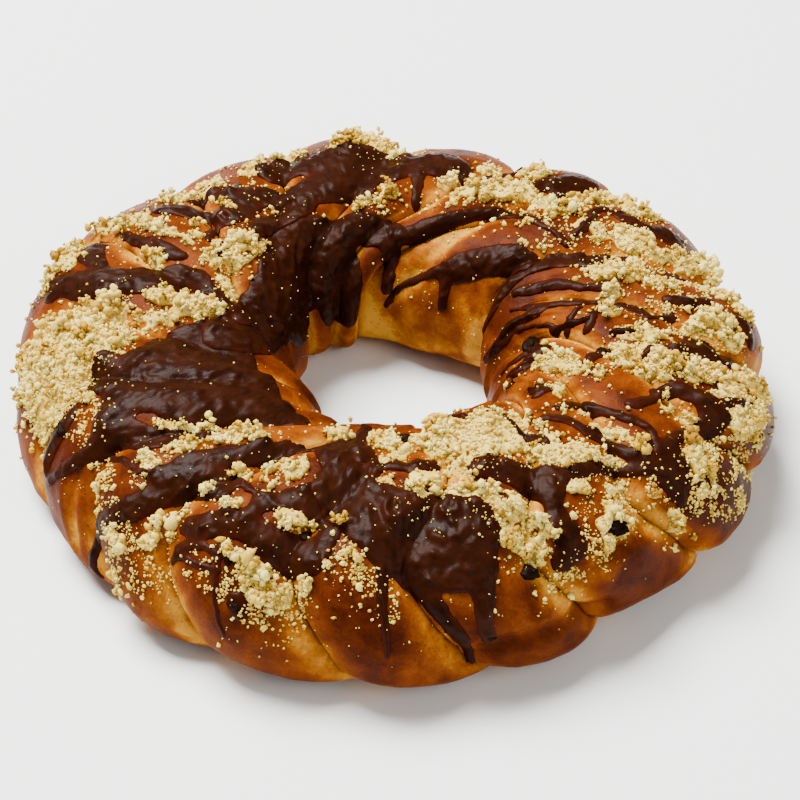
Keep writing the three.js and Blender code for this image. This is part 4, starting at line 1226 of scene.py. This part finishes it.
class LOAF_OT_bake_loaf(bpy.types.Operator):
    """Bake the braided ring of dough in one piece"""

    bl_idname = "loaf.bake_loaf"
    bl_label = "Bake the loaf"

    def execute(self, context):
        dough = dough_now(context)
        turn = np.pi * np.arange(COLUMNS_PER_STRAND) / COLUMNS_PER_STRAND
        within = (1 - np.cos(turn)) / 2
        strands = (np.arange(STRANDS)[:, None] + within).ravel()
        strand, girth = np.meshgrid(strands, np.linspace(0, 1, CRUST_ROWS + 1), indexing="ij")
        crust, _, relief, stretched = dough.crust(strand, girth)
        share = np.arange(1, BASE_ROWS + 1) / (BASE_ROWS + 1)
        outer, inner = crust[:, -1], crust[:, 0]
        ends = [dough.strand_angle(strands, edge)[:, None] for edge in (1.0, 0.0)]
        angle = mix(*ends, share)
        radius = mix(np.hypot(*outer.T[:2])[:, None], np.hypot(*inner.T[:2])[:, None], share)
        floor_height = mix(outer[:, 2:], inner[:, 2:], share) * (2 * share - 1) ** 8
        base = np.stack(
            [radius * np.cos(np.radians(angle)), radius * np.sin(np.radians(angle)), floor_height], axis=-1
        )
        points = np.concatenate([crust, base], axis=1)
        columns, rows = points.shape[:2]
        made = new_object("braided_loaf", points.reshape(-1, 3), closed_grid(columns, rows))
        finish_piece(made, crust_material(context.scene.loaf_settings), "baked_crust", "loaf")
        shade = self.bake(dough, crust, relief, stretched, dough.strand_angle(strand, girth), girth)
        add_values(made, "bake", np.pad(shade, ((0, 0), (0, BASE_ROWS)), mode="edge"))
        add_ring_map(made, columns, rows)
        return {"FINISHED"}

    def bake(self, dough, crust, relief, stretched, angle, girth):
        """How dark the crust is, 0 to 1: darkest on the high knuckles, golden on the walls, pale in the
        creases and near the table."""
        height = crust[..., 2] / dough.height
        knuckle = smoothstep(relief / dough.depth(girth), -0.45, 0.0)
        patches = 0.17 * noise(crust, 28, 11) + 0.17 * noise(crust, 10, 12) + 0.1 * noise(crust, 4, 13)
        shade = 0.33 + 0.17 * knuckle + 0.1 * smoothstep(height, 0.1, 0.7) - 0.32 * stretched + patches
        shade = shade - 0.16 * (1 - smoothstep(girth, 0.08, 0.26))
        degree = np.hypot(crust[..., 0], crust[..., 1]) * math.radians(1)
        # The strokes darken or pale the crust; two of the darker ones are painted shade.
        for darker, stroke in BROWNING_AND_PAINTED_SHADE:
            shade = shade + darker * smoothstep(inside_stroke(angle, girth, degree, stroke), -3, 2)
        near = np.full(shade.shape, OUTSIDE)
        for stroke in itertools.chain.from_iterable(strokes for _, strokes in GLAZE.values()):
            near = np.maximum(near, inside_stroke(angle, girth, degree, stroke))
        shade = shade + 0.2 * smoothstep(near, -7, 0) * smoothstep(noise(crust, 6, 14), -0.5, 0.6)
        return np.clip(shade, 0, 0.85)


def closed_grid(columns, rows):
    """Faces of a grid that closes on itself both ways, from column and row to the next ones."""
    column, row = np.meshgrid(np.arange(columns), np.arange(rows), indexing="ij")
    right, up = (column + 1) % columns, (row + 1) % rows
    corners = [(column, row), (column, up), (right, up), (right, row)]
    return np.stack([(c * rows + r).ravel() for c, r in corners], axis=-1)


def add_ring_map(made, columns, rows):
    """A UV map that unrolls the ring: columns along U, rows along V, with the last of each ending at 1."""
    column, row = np.meshgrid(np.arange(columns), np.arange(rows), indexing="ij")
    corners = [(column, row), (column, row + 1), (column + 1, row + 1), (column + 1, row)]
    places = [np.stack([c.ravel() / columns, r.ravel() / rows], axis=-1) for c, r in corners]
    unrolled = np.stack(places, axis=1).ravel().astype(np.float32)
    made.data.uv_layers.new(name="OFBake").data.foreach_set("uv", unrolled)


# The map of the crust, which each topping raises for the next one.
laid = {}


class LOAF_OT_press_raisins(bpy.types.Operator):
    """Press the raisins half into the crust"""

    bl_idname = "loaf.press_raisins"
    bl_label = "Press in the raisins"

    def execute(self, context):
        laid["crust"] = crust = CrustMap(dough_now(context))
        material = raisin_material()
        extra = tuple((f"raisin_extra_{i + 1}", *row) for i, row in enumerate(EXTRA_RAISINS))
        for number, (node, angle, girth, length) in enumerate(RAISINS + extra):
            column = np.array([angle * crust.COLUMNS / 360])
            row = np.array([girth * (crust.ROWS - 1)])
            spoke = crust.pick(crust.spokes, column, row)[0]
            place = crust.pick(crust.points, column, row)[0] - RAISIN_SUNK * spoke
            points, faces = self.raisin(length, number)
            turn = math.radians(angle + 65 + 20 * math.sin(5 * number))
            cosine, sine = math.cos(turn), math.sin(turn)
            points = points @ np.array([[cosine, sine, 0], [-sine, cosine, 0], [0, 0, 1]]) + place
            made = new_object(node + "_fruit", points, faces)
            nodes = [node] if number < len(RAISINS) else []
            finish_piece(made, material, "raisin", *nodes)
        return {"FINISHED"}

    def raisin(self, length, number):
        """A shrunken oval on a grid of two angles: an ellipsoid whose radius is folded in by ridged noise, so
        that wrinkles run over it."""
        around_it, along = RAISIN_GRID
        column, row = np.meshgrid(np.arange(around_it), np.arange(1, along), indexing="ij")
        turn, tilt = 2 * np.pi * column / around_it, np.pi * row / along
        ring = np.sin(tilt)
        ball = np.stack([np.cos(tilt), ring * np.cos(turn), ring * np.sin(turn)], axis=-1)
        ball = np.concatenate([ball.reshape(-1, 3), [[1, 0, 0], [-1, 0, 0]]])
        folds = np.abs(noise(ball * np.array([3, 6, 6]), 3.6, 40 + number))
        dents = noise(ball * 6, 7, 60 + number)
        shrunken = (0.8 + 0.36 * folds + 0.16 * dents)[:, None]
        points = ball * shrunken * np.array(RAISIN_FORM) * length
        quads, top, bottom = ball_faces(around_it, along)
        return points, quads.tolist() + top.tolist() + bottom.tolist()


class LOAF_OT_heap_streusel(bpy.types.Operator):
    """Raise the heaps of streusel on the crust, under their crumbs"""

    bl_idname = "loaf.heap_streusel"
    bl_label = "Heap the streusel"

    def execute(self, context):
        settings = context.scene.topping_settings
        crust = laid["crust"]
        laid["heaps"] = {}
        for name, (_, strokes) in STREUSEL.items():
            columns = crust.window(strokes, MARGIN)
            inside = crust.field(columns, strokes)
            at = columns % crust.COLUMNS
            where = crust.points[at]
            inside = inside - RAGGED * smoothstep(noise(where, 6, 34), 0.0, 0.55) - SHED
            knobs = 2.0 * noise(where, 6.5, 31) + 1.0 * np.abs(noise(where, 2.4, 32))
            height = settings.heap_height / MM * dome(inside, 6.0) * (0.75 + 0.3 * noise(where, 13, 33))
            top = height + knobs * dome(inside, 3.0)
            laid["heaps"][name] = (columns, inside, np.maximum(top, 0.05))
            lifted = np.where(inside > 0, top, 0)
            crust.strewn[at] |= inside > 0
            crust.heaped[at] = np.maximum(crust.heaped[at], lifted)
        return {"FINISHED"}


class LOAF_OT_pour_glaze(bpy.types.Operator):
    """Pour and drizzle the chocolate glaze"""

    bl_idname = "loaf.pour_glaze"
    bl_label = "Pour the glaze"

    def execute(self, context):
        settings = context.scene.topping_settings
        crust = laid["crust"]
        material = glaze_material(settings)
        for name, (nodes, strokes) in GLAZE.items():
            columns = crust.window(strokes, MARGIN)
            at = columns % crust.COLUMNS
            inside = crust.field(columns, strokes)
            under = blurred(crust.heaped, 2)[at]
            outline = crust.relief[at] + under
            level = np.clip(blurred(crust.relief + crust.heaped, 26)[at] - outline, 0, LEVEL_DEPTH)
            where = crust.points[at]
            wave = 1 + 0.25 * noise(where, 12, 51)
            lumps = 1.5 * np.maximum(noise(where, 4.6, 52), 0) * dome(inside, 7)
            lumps = lumps + 0.25 * noise(where, 2.2, 53)
            fullness = 0.55 + 0.45 * smoothstep(inside, 0.5, 6)
            body = settings.glaze_thickness / MM * dome(inside, 2.4) * fullness
            thickness = body * wave + level * smoothstep(inside, 0, 3) + lumps * dome(inside, 2)
            thickness = np.maximum(thickness, 0.1)
            points, faces = topping_skin(crust, columns, inside, under, under + thickness)
            made = new_object(name, points, faces)
            add_values(made, "thickness", crust_values(thickness, inside))
            finish_piece(made, material, "chocolate_glaze", *nodes)
            crust.glazed[at] = np.maximum(crust.glazed[at], inside)
            crust.heaped[at] = np.maximum(crust.heaped[at], np.where(inside > 0, under + thickness, 0))
        return {"FINISHED"}


def crust_values(values, inside):
    """A value of the map for each point of a topping skin: its upper points, then its lower ones."""
    kept, _, used = covered(inside)
    upper = np.where(kept, values, 0)[used]
    return np.concatenate([upper, upper[kept[used]]])


class LOAF_OT_strew_crumbs(bpy.types.Operator):
    """Cover the heaps with crumbs and strew loose ones round them"""

    bl_idname = "loaf.strew_crumbs"
    bl_label = "Strew the crumbs"

    def execute(self, context):
        settings = context.scene.topping_settings
        crust = laid["crust"]
        material = streusel_material(settings)
        rng = np.random.default_rng(CRUMB_SEED)
        for name, (columns, inside, top) in laid["heaps"].items():
            at = columns % crust.COLUMNS
            points, faces = topping_skin(crust, columns, inside, np.zeros_like(inside), top)
            tone = crust_values(0.42 + 0.25 * noise(crust.points[at], 6, 71), inside)
            room = crust.degree[at] * 360 / crust.COLUMNS * CRUST_LENGTH / (crust.ROWS - 1)
            clear = np.where(crust.glazed[at] > 0.4, ON_GLAZE, 1.0)
            parts = [(points, faces, np.zeros((0, 3), dtype=int), tone)]
            heart = room * (inside > 0.6) * clear
            column, row = self.scatter(heart, columns, rng.poisson(heart.sum() / LUMP_ROOM), rng)
            widths = LUMP_WIDTH * np.exp(rng.normal(0, 0.3, len(column)))
            centres = crust.above(column, row, 0.12 * widths)
            shades = rng.normal(0.46, 0.19, len(column))
            parts.append(clumps_at(centres, widths, shades, GRAINS_IN_LUMP, rng))
            fallen = 0.32 * np.exp(np.maximum(inside, -30) / 3.4)
            chance = room * clear * np.where(inside > 0, 1.0, fallen)
            size = settings.crumb_size / MM
            for share, middling, grid in LOOSE_CRUMBS:
                count = rng.poisson(chance.sum() * share / (size * middling) ** 2 * 2.2)
                column, row = self.scatter(chance, columns, count, rng)
                sizes = size * middling * np.exp(rng.normal(0, 0.3, count))
                places = crust.above(column, row, sizes * rng.uniform(0.0, 0.4, count))
                parts.append(crumbs_at(places, sizes, rng.normal(0.44, 0.16, count), rng, grid))
            self.add_piece(name + "_crumbs", parts, material, *STREUSEL[name][0])
        self.add_piece("streusel_nuggets", [self.nuggets(crust, rng)], material)
        self.add_piece("streusel_dust", [self.dust(crust, rng)], material)
        self.add_piece("streusel_sprinkle", [self.sprinkle(crust, rng)], material)
        return {"FINISHED"}

    def scatter(self, chance, columns, count, rng):
        """Places of the map drawn by chance, as columns and rows."""
        chosen = rng.choice(chance.size, count, p=chance.ravel() / chance.sum())
        last = chance.shape[1]
        column = columns[chosen // last] + rng.uniform(-0.5, 0.5, count)
        return column, (chosen % last + rng.uniform(-0.5, 0.5, count)).clip(0, last - 1)

    def add_piece(self, name, parts, material, *nodes):
        """One object from several lots of points, quads, triangles and tones."""
        starts = np.cumsum([0] + [len(part[0]) for part in parts])
        points = np.concatenate([part[0] for part in parts])
        faces = []
        for kind in (1, 2):
            faces += np.concatenate([part[kind] + start for part, start in zip(parts, starts)]).tolist()
        made = new_object(name, points, faces)
        add_values(made, "tone", np.concatenate([part[3] for part in parts]))
        finish_piece(made, material, "butter_streusel", *nodes)

    def nuggets(self, crust, rng):
        """The listed lumps, half sunk in what lies under them."""
        angle, girth, wide, tone = np.array(NUGGETS).T
        places = crust.above(angle * crust.COLUMNS / 360, girth * (crust.ROWS - 1), 0.15 * wide)
        return clumps_at(places, wide * 0.8, tone, 3 * GRAINS_IN_LUMP, rng)

    def dust(self, crust, rng):
        """Flour-fine grains over the upper crust, in drifts, thicker near the heaps: the chance of a
        grain falls with the distance from the streusel and with noise."""
        spread = blurred(np.where(crust.strewn, 1.0, 0.0), 90)
        drift = smoothstep(noise(crust.points, 9, 81), -0.1, 0.7)
        drift = drift * np.where(crust.glazed > 0.3, ON_GLAZE, 1.0)
        upper = smoothstep(crust.points[..., 2], 15, 40)
        chance = crust.degree * upper * (0.05 + 2.2 * spread**1.3) * (0.1 + drift)
        column, row = self.scatter(chance, np.arange(crust.COLUMNS), DUST_GRAINS, rng)
        sizes = 0.3 + 0.8 * rng.beta(1.2, 3, DUST_GRAINS)
        tones = rng.normal(0.5, 0.12, DUST_GRAINS)
        return crumbs_at(crust.above(column, row, 0.1), sizes, tones, rng, DUST_GRID)

    def sprinkle(self, crust, rng):
        """Fine crumbs in the sprinkled places, in small drifts: the chance of a crumb rises over 4 mm
        inside a stroke and follows noise with waves of 5 mm."""
        angle, girth = np.meshgrid(crust.angles, crust.girths, indexing="ij")
        lying = [inside_stroke(angle, girth, crust.degree, stroke) for stroke in SPRINKLED]
        inside = np.max(lying, axis=0)
        drift = smoothstep(noise(crust.points, 5, 83), -0.15, 0.45)
        drift = drift * np.where(crust.glazed > 0.3, 0.04, 1.0)
        chance = crust.degree * smoothstep(inside, -3, 4) * (0.06 + drift)
        column, row = self.scatter(chance, np.arange(crust.COLUMNS), SPRINKLED_CRUMBS, rng)
        sizes = 0.5 + 1.1 * rng.beta(1.3, 2.6, SPRINKLED_CRUMBS)
        tones = rng.normal(0.42, 0.14, SPRINKLED_CRUMBS)
        return crumbs_at(crust.above(column, row, 0.1 * sizes), sizes, tones, rng, SPRINKLED_GRID)


class LOAF_OT_set_stage(bpy.types.Operator):
    """Lay the table, hang the lamps and place the camera"""

    bl_idname = "loaf.set_stage"
    bl_label = "Set the stage"

    def execute(self, context):
        self.lay_table()
        self.hang_lamps()
        self.place_camera(context.scene.stage_settings)
        return {"FINISHED"}

    def lay_table(self):
        """A pale matt table top, square and far wider than the loaf."""
        corners = TABLE_HALF * np.array([[-1, -1, 0], [1, -1, 0], [1, 1, 0], [-1, 1, 0]])
        table = new_object("table_top", corners, np.array([[0, 1, 2, 3]]), smooth=False)
        material = new_material("matt_white_table")
        set_surface(material, Base_Color=linear("#F4F8FA"), Roughness=0.6)
        table.data.materials.append(material)

    def hang_lamps(self):
        """A wide soft window light from the upper left, a weak fill from the right, and a pale room."""
        for name, place, size, power, colour in LAMPS:
            light = bpy.data.lights.new(name, "AREA")
            light.size = size
            light.energy = power
            light.color = linear(colour)[:3]
            lamp = bpy.data.objects.new(name, light)
            lamp.location = place
            lamp.rotation_euler = (-Vector(place)).to_track_quat("-Z", "Y").to_euler()
            bpy.context.scene.collection.objects.link(lamp)
        world = bpy.data.worlds.new("pale_room")
        world.use_nodes = True
        walls = world.node_tree.nodes["Background"].inputs
        walls["Color"].default_value = linear(ROOM_COLOUR)
        walls["Strength"].default_value = ROOM_STRENGTH
        bpy.context.scene.world = world

    def place_camera(self, settings):
        """The camera looks along +Y and down, at a point near the middle of the ring."""
        target = Vector([value * MM for value in AIM])
        away = Vector((0, -math.cos(settings.elevation), math.sin(settings.elevation)))
        camera = bpy.data.objects.new("camera", bpy.data.cameras.new("camera"))
        camera.data.lens = settings.lens
        camera.data.sensor_width = SENSOR_WIDTH
        camera.data.clip_end = FARTHEST
        camera.location = target + away * settings.distance
        camera.rotation_euler = (-away).to_track_quat("-Z", "Y").to_euler()
        bpy.context.scene.collection.objects.link(camera)
        bpy.context.scene.camera = camera


class LOAF_PT_panel(bpy.types.Panel):
    """The steps of making the loaf, in the 3D view's sidebar"""

    bl_idname = "LOAF_PT_panel"
    bl_label = "Braided ring loaf"
    bl_space_type = "VIEW_3D"
    bl_region_type = "UI"
    bl_category = "Loaf"

    def draw(self, context):
        scene = context.scene
        for settings in (scene.loaf_settings, scene.topping_settings, scene.stage_settings):
            box = self.layout.box()
            for name in settings.__annotations__:
                box.prop(settings, name)
        for operator in OPERATORS:
            self.layout.operator(operator.bl_idname)


OPERATORS = (
    LOAF_OT_set_stage,
    LOAF_OT_bake_loaf,
    LOAF_OT_press_raisins,
    LOAF_OT_heap_streusel,
    LOAF_OT_pour_glaze,
    LOAF_OT_strew_crumbs,
)
CLASSES = (LoafSettings, ToppingSettings, StageSettings, *OPERATORS, LOAF_PT_panel)


def register():
    for made in CLASSES:
        bpy.utils.register_class(made)
    bpy.types.Scene.loaf_settings = bpy.props.PointerProperty(type=LoafSettings)
    bpy.types.Scene.topping_settings = bpy.props.PointerProperty(type=ToppingSettings)
    bpy.types.Scene.stage_settings = bpy.props.PointerProperty(type=StageSettings)


def unregister():
    del bpy.types.Scene.loaf_settings
    del bpy.types.Scene.topping_settings
    del bpy.types.Scene.stage_settings
    for made in reversed(CLASSES):
        bpy.utils.unregister_class(made)


def main():
    """Registers the add-on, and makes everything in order."""
    register()
    for operator in OPERATORS:
        group, action = operator.bl_idname.split(".")
        getattr(getattr(bpy.ops, group), action)()


if __name__ == "__main__":
    main()
